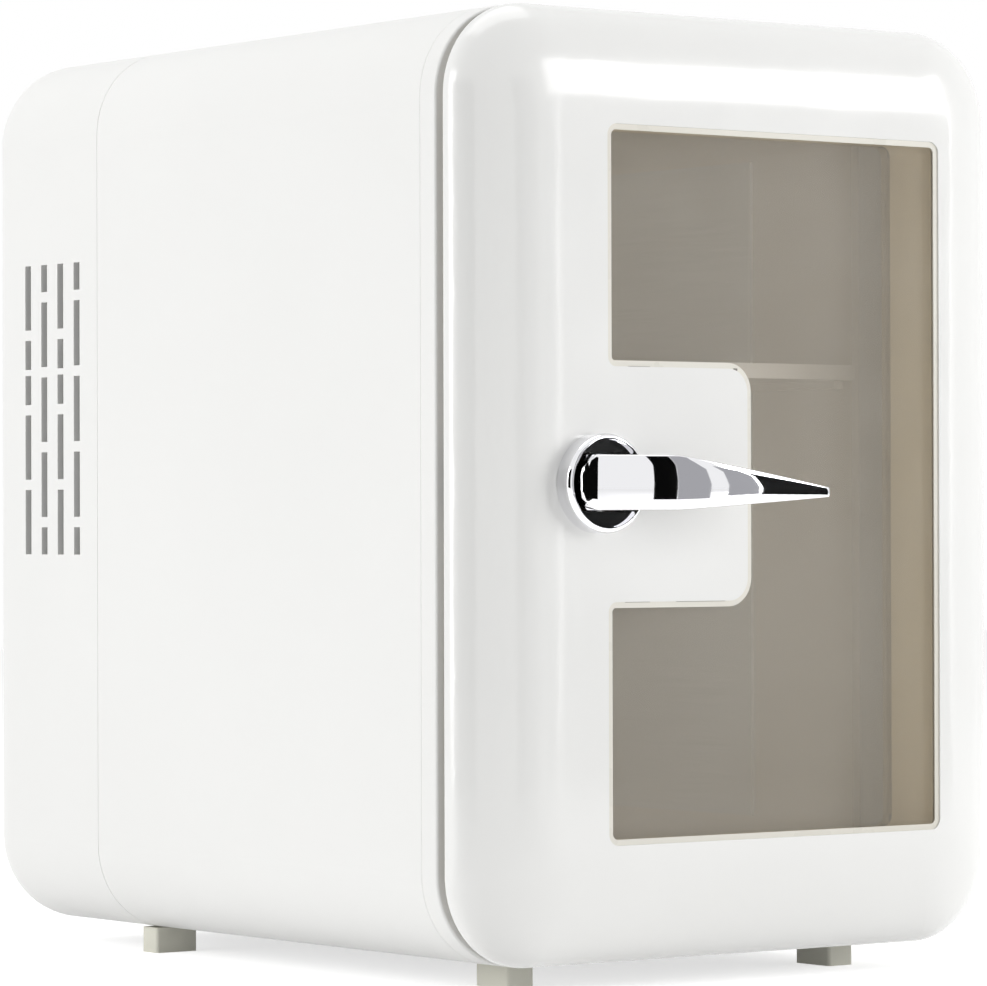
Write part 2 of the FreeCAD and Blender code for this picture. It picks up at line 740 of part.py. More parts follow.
fan_half = cell("fan_side") / 2
hole_half = cell("fan_hole_half")
fan_holes = [(middle + hole_half * side, cooler_z + hole_half * level) for side in (-1, 1) for level in (-1, 1)]
strut_front = rear_inside - 3.0
fan_frame = new_body("fan_frame")
extrude(fan_frame, "Pad", "fan_housing", "XZ_Plane", (fan_front, rear_inside),
        outlines=[round_box((middle - fan_half, middle + fan_half), (cooler_z - fan_half, cooler_z + fan_half), 4)],
        discs=[(cooler_axis, cell("fan_bore"))] + [(place, cell("fan_hole_radius")) for place in fan_holes])
extrude(fan_frame, "Pad", "fan_struts_across", "XZ_Plane", (strut_front, rear_inside),
        outlines=[round_box((middle - fan_half + 1, middle + fan_half - 1), (cooler_z - 2, cooler_z + 2), 0)])
extrude(fan_frame, "Pad", "fan_struts_up", "XZ_Plane", (strut_front, rear_inside),
        outlines=[round_box((middle - 2, middle + 2), (cooler_z - fan_half + 1, cooler_z + fan_half - 1), 0)])
extrude(fan_frame, "Pad", "fan_hub_plate", "XZ_Plane", (strut_front, rear_inside), discs=[(cooler_axis, cell("fan_hub"))])
bearing_front = fan_front + 5.5
bearing_radius = cell("shaft_radius") + 2.5
extrude(fan_frame, "Pad", "fan_bearing_tube", "XZ_Plane", (bearing_front, strut_front),
        discs=[(cooler_axis, bearing_radius)])
extrude(fan_frame, "Pocket", "fan_bearing_bore", "XZ_Plane", (bearing_front, rear_inside - 1),
        discs=[(cooler_axis, cell("shaft_radius") + cell("running_gap"))])

fan_motor = new_body("fan_motor")
extrude(fan_motor, "Pad", "motor_stator", "XZ_Plane", (bearing_front + 1, strut_front - 1.5),
        discs=[(cooler_axis, cell("fan_hub") - 4), (cooler_axis, bearing_radius)])

cup_front = fan_front + 1.2
cup_back = strut_front - 0.8
impeller = helper_body("impeller_hub")
extrude(impeller, "Pad", "impeller_cup", "XZ_Plane", (cup_front, cup_back), discs=[(cooler_axis, cell("fan_hub"))])
extrude(impeller, "Pocket", "impeller_hollow", "XZ_Plane", (cup_front + 2, cup_back), discs=[(cooler_axis, cell("fan_hub") - 2)])
extrude(impeller, "Pad", "impeller_shaft", "XZ_Plane", (cup_front + 1, rear_inside - 2), discs=[(cooler_axis, cell("shaft_radius"))])
blades = []
for number in range(7):
    # Each blade is a thin plate, pitched about its own length and set round the hub.
    blade = doc.addObject("Part::Box", "fan_blade_%d" % number)
    bind(blade, "Length", cell("blade_radius") - cell("fan_hub") + 0.8)
    bind(blade, "Width", cell("fan_depth") * 0.72)
    blade.Height = 1.5
    spin = Rotation(Vector(0, 1, 0), number * 360.0 / 7)
    pitch = Rotation(Vector(1, 0, 0), 38)
    turn = spin.multiply(pitch)
    start = turn.multVec(Vector(cell("fan_hub").value - 0.8, -cell("fan_depth").value * 0.36, -0.75))
    blade.Placement = Placement(start, turn)
    bind(blade, "Placement.Base.x", middle + start.x)
    bind(blade, "Placement.Base.y", (cup_front + cup_back) / 2 + start.y)
    bind(blade, "Placement.Base.z", cooler_z + start.z)
    blades.append(blade)
sweep = rod("blade_sweep", "y", cooler_axis, cup_front, cup_back, cell("blade_radius"))
hub_room = rod("blade_hub_room", "y", cooler_axis, cup_front - 1, cup_back + 1, cell("fan_hub") - 1)
trimmed = cut("blades_trimmed", common("blades_swept", [fuse("blades_all", blades), sweep]), [hub_room])
node("fan_impeller", fuse("fan_impeller", [impeller, trimmed]))

# ---------------------------------------------------------------- rear cover
rear_cover = new_body("rear_cover")
extrude(rear_cover, "Pad", "rear_outside", "XZ_Plane", (cabinet_back, rear_face), outlines=[ring(0)])
fillet(rear_cover, "rear_round", cell("rear_corner"), lies_at_y(rear_face))
fillet(rear_cover, "rear_parting_round", cell("parting_round"), outer_edges(cabinet_back))
doc.recompute()
rear_thickness = rear_cover.newObject("PartDesign::Thickness", "rear_hollow")
rear_base = doc.getObject("rear_round")
open_faces = ["Face%d" % number for number, face in enumerate(rear_base.Shape.Faces, start=1)
              if abs(face.BoundBox.YMax - cabinet_back.value) < 0.01]
rear_thickness.Base = (rear_base, open_faces)
bind(rear_thickness, "Value", cell("shell_wall"))
rear_thickness.Reversed = True
rear_thickness.Join = 0
extrude(rear_cover, "Pad", "rear_ledge", "XZ_Plane", (cabinet_back, cabinet_back + cell("lip_length")),
        outlines=[ring(cell("shell_wall") - 0.2), ring(lip_inner)])
extrude(rear_cover, "Pad", "rear_lip", "XZ_Plane", (cabinet_back - cell("lip_length"), cabinet_back),
        outlines=[ring(lip_outer), ring(lip_inner)])
rear_bosses = rear_screw_places
extrude(rear_cover, "Pad", "rear_screw_bosses", "XZ_Plane", (bulkhead_back, rear_inside + 0.5),
        discs=[(place, cell("boss_radius")) for place in rear_bosses])
board_corners = [(middle - 54, rear_inside - 46), (middle + 34, rear_inside - 46),
                 (middle - 54, rear_inside - 8), (middle + 34, rear_inside - 8)]
board_low = cell("board_height")
extrude(rear_cover, "Pad", "rear_board_posts", "XY_Plane", (base + cell("shell_wall") - 0.5, board_low),
        discs=[(place, 2.6) for place in board_corners])

# Vent slots: four staggered columns on each side, and the same slots over the fan.
length = cell("vent_length")
width = cell("vent_width")
rise = cell("vent_pitch_up")
gap = rise - length
vents_low = cooler_z - length * 2 - gap * 1.5
bridge = 1.7


def vent_column(across, staggered):
    """One column of slots: whole ones, or shifted by half a slot with a short one at each end."""
    x = (across - width / 2, across + width / 2)
    slots = []
    if staggered:
        half = length / 2 - gap / 2
        slots.append(round_box(x, (vents_low, vents_low + half), 0))
        for number in range(3):
            low = vents_low + half + gap + rise * number
            slots.append(round_box(x, (low, low + length), 0))
        high = vents_low + rise * 4 - gap
        slots.append(round_box(x, (high - half, high), 0))
        return slots
    for number in range(4):
        low = vents_low + rise * number
        if number == 2:
            slots.append(round_box(x, (low, low + length / 2 - bridge / 2), 0))
            slots.append(round_box(x, (low + length / 2 + bridge / 2, low + length), 0))
        else:
            slots.append(round_box(x, (low, low + length), 0))
    return slots


side_slots = []
for number in range(4):
    side_slots += vent_column(front + cell("vent_first") + cell("vent_pitch_back") * number, number % 2 == 0)
extrude(rear_cover, "Pocket", "side_vents", "YZ_Plane", (left_side - 1, right_side + 1), outlines=side_slots)
grille_slots = []
for number in range(8):
    slots = vent_column(middle + cell("vent_pitch_back") * (number - 3.5), number % 2 == 0)
    if number in (0, 7):
        slots = slots[1:-1]
    grille_slots += slots
extrude(rear_cover, "Pocket", "fan_grille", "XZ_Plane", (rear_inside - 1, rear_face), outlines=grille_slots)

socket_z = cell("socket_height")
inlet_axis = (middle - cell("inlet_offset"), socket_z)
dc_axis = (middle + cell("dc_offset"), socket_z)
switch_axis = (middle + cell("switch_offset"), socket_z)
inlet_half = (10.6, 6.8)
dc_radius = as_size(7.0)
switch_half = (7.5, 11.0)


def panel_box(axis, half, grow=0.0, radius=0.0):
    return round_box((axis[0] - half[0] - grow, axis[0] + half[0] + grow),
                     (axis[1] - half[1] - grow, axis[1] + half[1] + grow), radius)


extrude(rear_cover, "Pocket", "socket_openings", "XZ_Plane", (rear_inside, rear_face),
        outlines=[panel_box(inlet_axis, inlet_half), panel_box(switch_axis, switch_half)],
        discs=[(dc_axis, dc_radius)])
extrude(rear_cover, "Pocket", "rear_screw_holes", "XZ_Plane", (bulkhead_back, rear_face),
        discs=[(place, cell("screw_radius")) for place in rear_bosses]
        + [(place, cell("screw_radius")) for place in fan_holes])
head_seat = rear_face - cell("screw_head_height")
extrude(rear_cover, "Pocket", "rear_head_seats", "XZ_Plane", (head_seat, rear_face),
        discs=[(place, cell("screw_head_radius")) for place in rear_bosses]
        + [(place, cell("screw_head_radius")) for place in fan_holes])
node("rear_cover_screws", group("rear_cover_screws", [
    screw("rear_screw_%d" % number, place, foam_back, head_seat, 1) for number, place in enumerate(rear_bosses)]))
node("fan_screws", group("fan_screws", [
    screw("fan_screw_%d" % number, place, fan_front + 4, head_seat, 1) for number, place in enumerate(fan_holes)]))

# ---------------------------------------------------------------- sockets, switch and board
socket_front = rear_face - 15.0
socket_floor = rear_face - 12.5
flange = 2.5
ac_inlet = new_body("ac_inlet")
extrude(ac_inlet, "Pad", "inlet_block", "XZ_Plane", (socket_front, rear_face), outlines=[panel_box(inlet_axis, inlet_half)])
extrude(ac_inlet, "Pad", "inlet_flange", "XZ_Plane", (rear_inside - 1.6, rear_inside),
        outlines=[panel_box(inlet_axis, inlet_half, flange)])
extrude(ac_inlet, "Pocket", "inlet_mouth", "XZ_Plane", (socket_floor, rear_face),
        outlines=[panel_box(inlet_axis, (8.3, 4.5), 0.0, 4.2)])
inlet_pins = [(inlet_axis[0] - 4.3, socket_z), (inlet_axis[0] + 4.3, socket_z)]
extrude(ac_inlet, "Pocket", "inlet_pin_holes", "XZ_Plane", (socket_front, socket_floor),
        discs=[(place, 1.2) for place in inlet_pins])
node("ac_inlet_pins", group("ac_inlet_pins", [
    rod("inlet_pin_%d" % number, "y", place, socket_front - 3, rear_face - 4, 1.2)
    for number, place in enumerate(inlet_pins)]))

dc_socket = new_body("dc_socket")
extrude(dc_socket, "Pad", "dc_barrel", "XZ_Plane", (socket_front, rear_face), discs=[(dc_axis, dc_radius)])
extrude(dc_socket, "Pad", "dc_flange", "XZ_Plane", (rear_inside - 1.6, rear_inside), discs=[(dc_axis, dc_radius + flange)])
extrude(dc_socket, "Pocket", "dc_mouth", "XZ_Plane", (socket_floor, rear_face), discs=[(dc_axis, 5.2)])
extrude(dc_socket, "Pocket", "dc_pin_hole", "XZ_Plane", (socket_front, socket_floor), discs=[(dc_axis, 1.1)])
node("dc_socket_pin", rod("dc_pin", "y", dc_axis, socket_front - 3, rear_face - 4, 1.1))

switch_housing = new_body("switch_housing")
extrude(switch_housing, "Pad", "switch_block", "XZ_Plane", (socket_front, rear_face),
        outlines=[panel_box(switch_axis, switch_half)])
extrude(switch_housing, "Pad", "switch_flange", "XZ_Plane", (rear_inside - 1.6, rear_inside),
        outlines=[panel_box(switch_axis, switch_half, flange)])
rocker_half = 5.6
rocker_radius = 9.3
extrude(switch_housing, "Pocket", "switch_well", "XZ_Plane", (socket_front + 1.5, rear_face),
        outlines=[panel_box(switch_axis, (rocker_half + 0.3, rocker_radius + 0.3))])
rocker_y = rear_face - 6.6
axle_reach = rocker_half + 1.3
extrude(switch_housing, "Pocket", "switch_axle_holes", "YZ_Plane",
        (switch_axis[0] - axle_reach - 0.1, switch_axis[0] + axle_reach + 0.1),
        discs=[((rocker_y, socket_z), cell("running_gap") + 1.0)])
rocker_round = rod("rocker_round", "x", (rocker_y, socket_z), switch_axis[0] - rocker_half,
                   switch_axis[0] + rocker_half, rocker_radius)
rocker_block = block("rocker_block", (switch_axis[0] - rocker_half, switch_axis[0] + rocker_half),
                     (rocker_y - 2.5, rocker_y + 5.2), (socket_z - rocker_radius, socket_z + rocker_radius))
rocker_dish = rod("rocker_dish", "x", (rocker_y + 22.6, socket_z), switch_axis[0] - rocker_half - 1,
                  switch_axis[0] + rocker_half + 1, 18.6)
rocker_axle = rod("rocker_axle", "x", (rocker_y, socket_z), switch_axis[0] - axle_reach,
                  switch_axis[0] + axle_reach, 1.0)
rocker_face = cut("rocker_face", common("rocker_form", [rocker_round, rocker_block]), [rocker_dish])
node("switch_rocker", fuse("switch_rocker", [rocker_face, rocker_axle]))

board_top = board_low + cell("board_thickness")
board = new_body("power_board")
extrude(board, "Pad", "board_sheet", "XY_Plane", (board_low, board_top),
        outlines=[round_box((board_corners[0][0] - 5, board_corners[1][0] + 5),
                            (board_corners[0][1] - 4, board_corners[2][1] + 4), 1)],
        discs=[(place, cell("screw_radius")) for place in board_corners])


def board_screw(name, place):
    shank = rod(name + "_shank", "z", place, board_top - 6, board_top, cell("screw_radius"))
    cap = rod(name + "_head", "z", place, board_top, board_top + 1.6, 2.4)
    return fuse(name, [shank, cap])


extrude(rear_cover, "Pocket", "rear_post_holes", "XY_Plane", (board_top - 6, board_low),
        discs=[(place, cell("screw_radius")) for place in board_corners])
node("board_screws", group("board_screws", [
    board_screw("board_screw_%d" % number, place) for number, place in enumerate(board_corners)]))
board_middle = (board_corners[0][1] + board_corners[2][1]) / 2
core = block("transformer_core", (middle - 22, middle + 6), (board_middle - 9, board_middle + 9),
             (board_top, board_top + 19))
winding = block("transformer_winding", (middle - 17, middle + 1), (board_middle - 13, board_middle + 13),
                (board_top + 3, board_top + 16))
node("transformer", fuse("transformer", [core, winding]))
node("capacitors", group("capacitors", [
    rod("capacitor_%d" % number, "z", (middle + place, board_middle + 2), board_top, board_top + tall, radius)
    for number, (place, tall, radius) in enumerate(((-40.0, 17.0, 6.0), (20.0, 13.0, 5.0), (31.0, 11.0, 4.0)))]))

# ---------------------------------------------------------------- feet
for side_name, side in (("left", -1), ("right", 1)):
    for row_name, inset, wide, start, deep in (
            ("front", cell("front_foot_inset"), cell("front_foot_width"), cell("front_foot_front"), cell("front_foot_depth")),
            ("rear", cell("rear_foot_inset"), cell("rear_foot_width"), cell("rear_foot_front"), cell("rear_foot_depth"))):
        outer = middle + (half_width - inset) * side
        inner = outer - wide * side
        name = "%s_foot_%s" % (row_name, side_name)
        foot = new_body(name)
        across = (outer, inner) if side < 0 else (inner, outer)
        extrude(foot, "Pad", name + "_block", "XY_Plane", (as_size(0.0), base),
                outlines=[round_box(across, (front + start, front + start + deep), 1.0)])

# ---------------------------------------------------------------- hinges
half_hinge = cell("hinge_height") / 2
knuckle = cell("knuckle")
for level_name, level in hinge_levels.items():
    low, high = level - half_hinge, level + half_hinge
    outer_knuckles = [(low, low + knuckle), (high - knuckle, high)]
    inner_knuckle = [(low + knuckle + 0.3, high - knuckle - 0.3)]
    for owner, knuckles, others, plate in (
            ("cabinet", outer_knuckles, inner_knuckle, (bezel_front, bezel_front + cell("leaf_thickness"))),
            ("door", inner_knuckle, outer_knuckles, (door_back - cell("leaf_thickness"), door_back))):
        name = "%s_hinge_%s" % (owner, level_name)
        leaf = block(name + "_plate", (leaf_left, hinge_x), plate, (low, high))
        if owner == "door":
            edge_room = [block(name + "_room_%d" % number, (hinge_x - relief_radius, hinge_x + 1),
                               (plate[0] - 1, plate[1] + 1), (start - 0.3, end + 0.3))
                         for number, (start, end) in enumerate(others)]
        else:
            edge_room = [rod(name + "_room_%d" % number, "z", (hinge_x, hinge_y), start - 0.3, end + 0.3, relief_radius)
                         for number, (start, end) in enumerate(others)]
        barrels = [rod(name + "_knuckle_%d" % number, "z", (hinge_x, hinge_y), start, end, cell("barrel_radius"))
                   for number, (start, end) in enumerate(knuckles)]
        bore = rod(name + "_bore", "z", (hinge_x, hinge_y), low - 1, high + 1,
                   cell("hinge_pin_radius") + (cell("running_gap") if owner == "door" else 0))
        seat = ((plate[0], plate[0] + cell("flush_head_height")) if owner == "cabinet"
                else (plate[1] - cell("flush_head_height"), plate[1]))
        holes = []
        for number, way in enumerate((-1, 1)):
            place = (leaf_screw_x, level + leaf_screw_rise * way)
            holes.append(rod(name + "_hole_%d" % number, "y", place, plate[0] - 1, plate[1] + 1, cell("screw_radius")))
            holes.append(rod(name + "_seat_%d" % number, "y", place, *seat, cell("flush_head_radius")))
        node(name, cut(name, fuse(name + "_leaf", [cut(name + "_cleared", leaf, edge_room)] + barrels), [bore] + holes))
    node("hinge_pin_" + level_name, rod("hinge_pin_" + level_name, "z", (hinge_x, hinge_y), low, high,
                                        cell("hinge_pin_radius")))


def flush_screw(name, place, head, tip, head_side):
    """A screw along Y whose flat head lies flush in the face that it holds down."""
    thick = cell("flush_head_height")
    crown = (head, head + thick) if head_side < 0 else (head - thick, head)
    shank = (head, tip) if head_side < 0 else (tip, head)
    return fuse(name, [rod(name + "_head", "y", place, *crown, cell("flush_head_radius")),
                       rod(name + "_shank", "y", place, *shank, cell("screw_radius"))])


cabinet_screws = group("cabinet_hinge_screws", [
    flush_screw("cabinet_hinge_screw_%d" % number, place, bezel_front, bezel_boss_back, -1)
    for number, place in enumerate(leaf_screws)])
node("cabinet_hinge_screws", cabinet_screws)

# ---------------------------------------------------------------- door
panel_front = door_back - cell("panel_thickness")
ARC_STEPS = 6


def pillow(wall):
    """The sections of the door's pillowed front, from its back face to its flat front face."""
    wall = as_size(wall)
    sections = []
    reach = cell("pillow_reach") - wall
    depth = cell("pillow_depth") - wall
    full = cell("corner_radius") - wall
    flat = cell("flat_corner") - wall * 0.4
    for step in range(ARC_STEPS + 1):
        angle = math.pi / 2 * step / ARC_STEPS
        inset = reach * (1 - math.cos(angle))
        radius = full - (full - flat) * (1 - math.cos(angle))
        place = front + cell("pillow_depth") - depth * math.sin(angle)
        sections.append((place, round_box((left_side + wall + inset, right_side - wall - inset),
                                          (base + wall + inset, top - wall - inset), radius)))
    return sections


door_shell = new_body("door_shell")
loft(door_shell, "AdditiveLoft", "door_pillow", pillow(0))
pillow_back = front + cell("pillow_depth")
extrude(door_shell, "Pad", "door_rim", "XZ_Plane", (pillow_back, door_back), outlines=[ring(0)])
loft(door_shell, "SubtractiveLoft", "door_hollow", pillow(cell("door_wall")))
extrude(door_shell, "Pocket", "door_back_opening", "XZ_Plane", (pillow_back, door_back), outlines=[ring(cell("door_wall"))])
extrude(door_shell, "Pocket", "window_opening", "XZ_Plane", (front, front + 6), outlines=[window(0)])
extrude(door_shell, "Pocket", "pane_rebate", "XZ_Plane", (front + cell("outer_pane_front"), front + 6),
        outlines=[window(cell("pane_overlap"))])

door_screws = [(left_side + 9.2, base + 40), (left_side + 9.2, top - 40), (right_side - 9.2, cell("body_top") / 2 - 20),
               (right_side - 9.2, cell("body_top") / 2 + 26), (middle, base + 8.4), (middle, top - 8.4)]
boss_front = front + 7.5
extrude(door_shell, "Pad", "door_bosses", "XZ_Plane", (boss_front, panel_front),
        discs=[(place, cell("boss_radius")) for place in door_screws])
extrude(door_shell, "Pocket", "door_boss_holes", "XZ_Plane", (boss_front + 1, panel_front),
        discs=[(place, cell("screw_radius")) for place in door_screws])
extrude(door_shell, "Pocket", "rosette_hole", "XZ_Plane", (front - 1, front + 6),
        discs=[((pivot_x, handle_z), cell("rosette_tube"))])
leaf_front = door_back - cell("leaf_thickness")
leaf_spans = [(level - half_hinge, level + half_hinge) for level in hinge_levels.values()]
extrude(door_shell, "Pocket", "door_leaf_notches", "XZ_Plane", (leaf_front, door_back),
        outlines=[round_box((right_side - 6, right_side + 1), span, 0) for span in leaf_spans])
for number, span in enumerate(leaf_spans):
    extrude(door_shell, "Pocket", "door_relief_%d" % number, "XY_Plane", (span[0] - 0.3, span[1] + 0.3),
            discs=[((hinge_x, hinge_y), relief_radius)])

panel = new_body("door_inner_panel")
panel_edge = cell("door_wall") + cell("panel_gap")
plug_back = door_back + cell("plug_depth")
plug_outline = round_box((middle - plug_half, middle + plug_half), (plug_low, plug_high), cell("plug_corner"))
plug_inside = round_box((middle - plug_half + cell("plug_wall"), middle + plug_half - cell("plug_wall")),
                        (plug_low + cell("plug_wall"), plug_high - cell("plug_wall")),
                        cell("plug_corner") - cell("plug_wall"))
frame_outline = window(cell("window_frame_wall"))
extrude(panel, "Pad", "panel_sheet", "XZ_Plane", (panel_front, door_back), outlines=[ring(panel_edge), plug_inside])
extrude(panel, "Pad", "panel_plug_wall", "XZ_Plane", (door_back, plug_back - cell("plug_wall")),
        outlines=[plug_outline, plug_inside])
extrude(panel, "Pad", "panel_plug_face", "XZ_Plane", (plug_back - cell("plug_wall"), plug_back),
        outlines=[plug_outline, frame_outline])
hinge_blocks = [round_box((leaf_left - 1.2, right_side - 4.7), span, 0) for span in leaf_spans]
extrude(panel, "Pad", "panel_hinge_blocks", "XZ_Plane", (panel_front - 2.4, panel_front), outlines=hinge_blocks)
extrude(panel, "Pocket", "panel_leaf_seats", "XZ_Plane", (leaf_front, door_back),
        outlines=[round_box((leaf_left, right_side), span, 0) for span in leaf_spans])
for number, span in enumerate(leaf_spans):
    extrude(panel, "Pocket", "panel_relief_%d" % number, "XY_Plane", (span[0] - 0.3, span[1] + 0.3),
            discs=[((hinge_x, hinge_y), relief_radius)])
extrude(panel, "Pocket", "panel_screw_holes", "XZ_Plane", (panel_front - 2.4, door_back),
        discs=[(place, cell("screw_radius")) for place in door_screws + leaf_screws])
extrude(panel, "Pocket", "panel_head_seats", "XZ_Plane", (door_back - cell("flush_head_height"), door_back),
        discs=[(place, cell("flush_head_radius")) for place in door_screws])
extrude(panel, "Pocket", "panel_latch_slot", "XZ_Plane", (panel_front, door_back),
        outlines=[round_box((slot_left - 3.4, slot_right + cell("hook_swing")),
                            (handle_z - slot_half, handle_z + slot_half), 0)])

node("door_screws", group("door_screws", [
    flush_screw("door_screw_%d" % number, place, door_back, boss_front + 1, 1)
    for number, place in enumerate(door_screws)]))
node("door_hinge_screws", group("door_hinge_screws", [
    flush_screw("door_hinge_screw_%d" % number, place, door_back, panel_front - 2.4, 1)
    for number, place in enumerate(leaf_screws)]))

outer_pane = new_body("window_outer_pane")
pane_back = front + cell("outer_pane_front") + cell("pane_thickness")
extrude(outer_pane, "Pad", "outer_pane_sheet", "XZ_Plane", (front + cell("outer_pane_front"), pane_back),
        outlines=[window(cell("pane_overlap"))])
window_frame = new_body("window_frame")
extrude(window_frame, "Pad", "frame_tube", "XZ_Plane", (pane_back, plug_back), outlines=[frame_outline, window(0)])
inner_pane = new_body("window_inner_pane")
inner_pane_span = (front + cell("inner_pane_front"), front + cell("inner_pane_front") + cell("inner_pane_thickness"))
extrude(inner_pane, "Pad", "inner_pane_sheet", "XZ_Plane", inner_pane_span, outlines=[window(0)])

gasket = new_body("door_gasket")
seal_in = cell("collar_step") + cell("gasket_setback")
seal_out = seal_in + cell("gasket_width")
extrude(gasket, "Pad", "gasket_ring", "XZ_Plane", (door_back, bezel_front - cell("gasket_clearance")),
        outlines=[cavity(seal_out, cell("plug_corner") + cell("gasket_width")), cavity(seal_in, cell("plug_corner"))])

# ---------------------------------------------------------------- handle and latch
pivot = (pivot_x, handle_z)
rosette = helper_body("rosette_form")
rosette_front = front - cell("rosette_proud")
extrude(rosette, "Pad", "rosette_ring", "XZ_Plane", (rosette_front, front), discs=[(pivot, cell("rosette_radius"))])
fillet(rosette, "rosette_round", 1.3, lies_at_y(rosette_front))
extrude(rosette, "Pad", "rosette_tube", "XZ_Plane", (front, front + cell("rosette_tail")),
        discs=[(pivot, cell("rosette_tube"))])
disc_front = rosette_front + 1.0
disc_back = disc_front + 0.9
extrude(rosette, "Pocket", "rosette_recess", "XZ_Plane", (rosette_front, disc_front), discs=[(pivot, cell("rosette_bore"))])
extrude(rosette, "Pocket", "rosette_hollow", "XZ_Plane", (disc_back, front + cell("rosette_tail")),
        discs=[(pivot, cell("rosette_bore"))])
band_low = handle_z - cell("band_height") + cell("band_rise")
band_high = handle_z + cell("band_rise")
lever_pin_half = cell("rosette_tube") - 0.1
extrude(rosette, "Pocket", "rosette_pin_hole", "XY_Plane", (handle_z - lever_pin_half, handle_z + lever_pin_half),
        discs=[((pivot_x, pivot_y), cell("lever_pin_radius"))])
slot_box = block("rosette_slot_box", (pivot_x - cell("rosette_bore"), pivot_x + cell("rosette_bore")),
                 (disc_front - 0.5, disc_back + 0.5), (band_low - 0.35, band_high + 0.35))
slot_round = rod("rosette_slot_round", "y", pivot, disc_front - 0.5, disc_back + 0.5, cell("rosette_bore"))
node("handle_rosette", cut("handle_rosette", rosette, [common("rosette_slot", [slot_box, slot_round])]))
node("lever_pin", rod("lever_pin", "z", (pivot_x, pivot_y), handle_z - lever_pin_half, handle_z + lever_pin_half,
                      cell("lever_pin_radius")))
nut = new_body("rosette_nut")
extrude(nut, "Pad", "nut_ring", "XZ_Plane", (front + 2.8, front + cell("rosette_tail")),
        discs=[(pivot, cell("rosette_tube") + 1.5), (pivot, cell("rosette_tube"))])

# The lever: a drum round the pin that runs out into a tapering blade.
lever = helper_body("lever_form")
tip_x = pivot_x + cell("lever_length")
tip_front = front - cell("lever_reach")
tip_back = tip_front + cell("lever_tip")
root_back = rosette_front - 0.7
hub_radius = cell("hub_radius")
plan = new_sketch(lever, "lever_plan", "XY_Plane", band_low)
radius = hub_radius.value
span_x, span_y = (tip_x - pivot_x).value, (tip_front - pivot_y).value
reach = math.hypot(span_x, span_y)
tangent = math.atan2(span_y, span_x) - math.acos(radius / reach)
root = math.asin((root_back - pivot_y).value / radius)
hub_centre = Vector(pivot_x.value, pivot_y.value, 0)
touch = hub_centre + Vector(math.cos(tangent), math.sin(tangent), 0) * radius
joint = hub_centre + Vector(math.cos(root), math.sin(root), 0) * radius
tip_points = [Vector(tip_x.value, tip_front.value, 0), Vector(tip_x.value, tip_back.value, 0)]
circle = Part.Circle(hub_centre, Vector(0, 0, 1), radius)
drum = plan.addGeometry(Part.ArcOfCircle(circle, root, tangent + 2 * math.pi), False)
face_line = plan.addGeometry(Part.LineSegment(touch, tip_points[0]), False)
tip_line = plan.addGeometry(Part.LineSegment(tip_points[0], tip_points[1]), False)
back_line = plan.addGeometry(Part.LineSegment(tip_points[1], joint), False)
plan.addConstraint(Sketcher.Constraint("Tangent", drum, 2, face_line, 1))
plan.addConstraint(Sketcher.Constraint("Coincident", face_line, 2, tip_line, 1))
plan.addConstraint(Sketcher.Constraint("Coincident", tip_line, 2, back_line, 1))
plan.addConstraint(Sketcher.Constraint("Coincident", back_line, 2, drum, 1))
dimension(plan, "DistanceX", (-1, 1, drum, 3), pivot_x)
dimension(plan, "DistanceY", (-1, 1, drum, 3), pivot_y)
dimension(plan, "Radius", (drum,), hub_radius)
dimension(plan, "DistanceX", (-1, 1, face_line, 2), tip_x)
dimension(plan, "DistanceY", (-1, 1, face_line, 2), tip_front)
dimension(plan, "DistanceX", (-1, 1, tip_line, 2), tip_x)
dimension(plan, "DistanceY", (-1, 1, tip_line, 2), tip_back)
dimension(plan, "DistanceY", (-1, 1, back_line, 2), root_back)
lever_pad = lever.newObject("PartDesign::Pad", "lever_band")
lever_pad.Profile = plan
bind(lever_pad, "Length", cell("band_height"))
tip_top = band_high - 8.2
tip_bottom = band_low + 3.4
taper_span = (tip_front - 2, front + 12)
extrude(lever, "Pocket", "lever_top_taper", "XZ_Plane", taper_span,
        polygons=[[(pivot_x + 16, band_high), (tip_x + 2, tip_top - 0.4), (tip_x + 2, band_high + 2),
                   (pivot_x + 16, band_high + 2)]])
extrude(lever, "Pocket", "lever_bottom_taper", "XZ_Plane", taper_span,
        polygons=[[(pivot_x + 14, band_low), (pivot_x + 14, band_low - 2), (tip_x + 2, band_low - 2),
                   (tip_x + 2, tip_bottom + 0.15)]])
extrude(lever, "Pocket", "lever_back_flat", "XZ_Plane", (front + cell("hub_back"), front + 14),
        outlines=[round_box((pivot_x - 14, pivot_x + 14), (band_low - 1, band_high + 1), 0)])


def is_blade_edge(edge):
    """The long top and bottom edges of the blade's face, from the drum to the tip."""
    box = edge.BoundBox
    level = box.ZMax < band_low.value + 3.6 or box.ZMin > band_high.value - 8.4
    return level and box.XMax > pivot_x.value + 3 and box.YMax < front.value - 5 and box.XLength > 8


fillet(lever, "lever_round", 0.7, is_blade_edge)
extrude(lever, "Pocket", "lever_pin_bore", "XY_Plane", (band_low - 1, band_high + 1),
        discs=[((pivot_x, pivot_y), cell("lever_pin_radius") + cell("running_gap"))])
hook_screws = [(pivot_x - 5.5, handle_z), (pivot_x + 5.5, handle_z)]
extrude(lever, "Pocket", "lever_screw_holes", "XZ_Plane", (front + 1, front + cell("hub_back")),
        discs=[(place, cell("screw_radius")) for place in hook_screws])

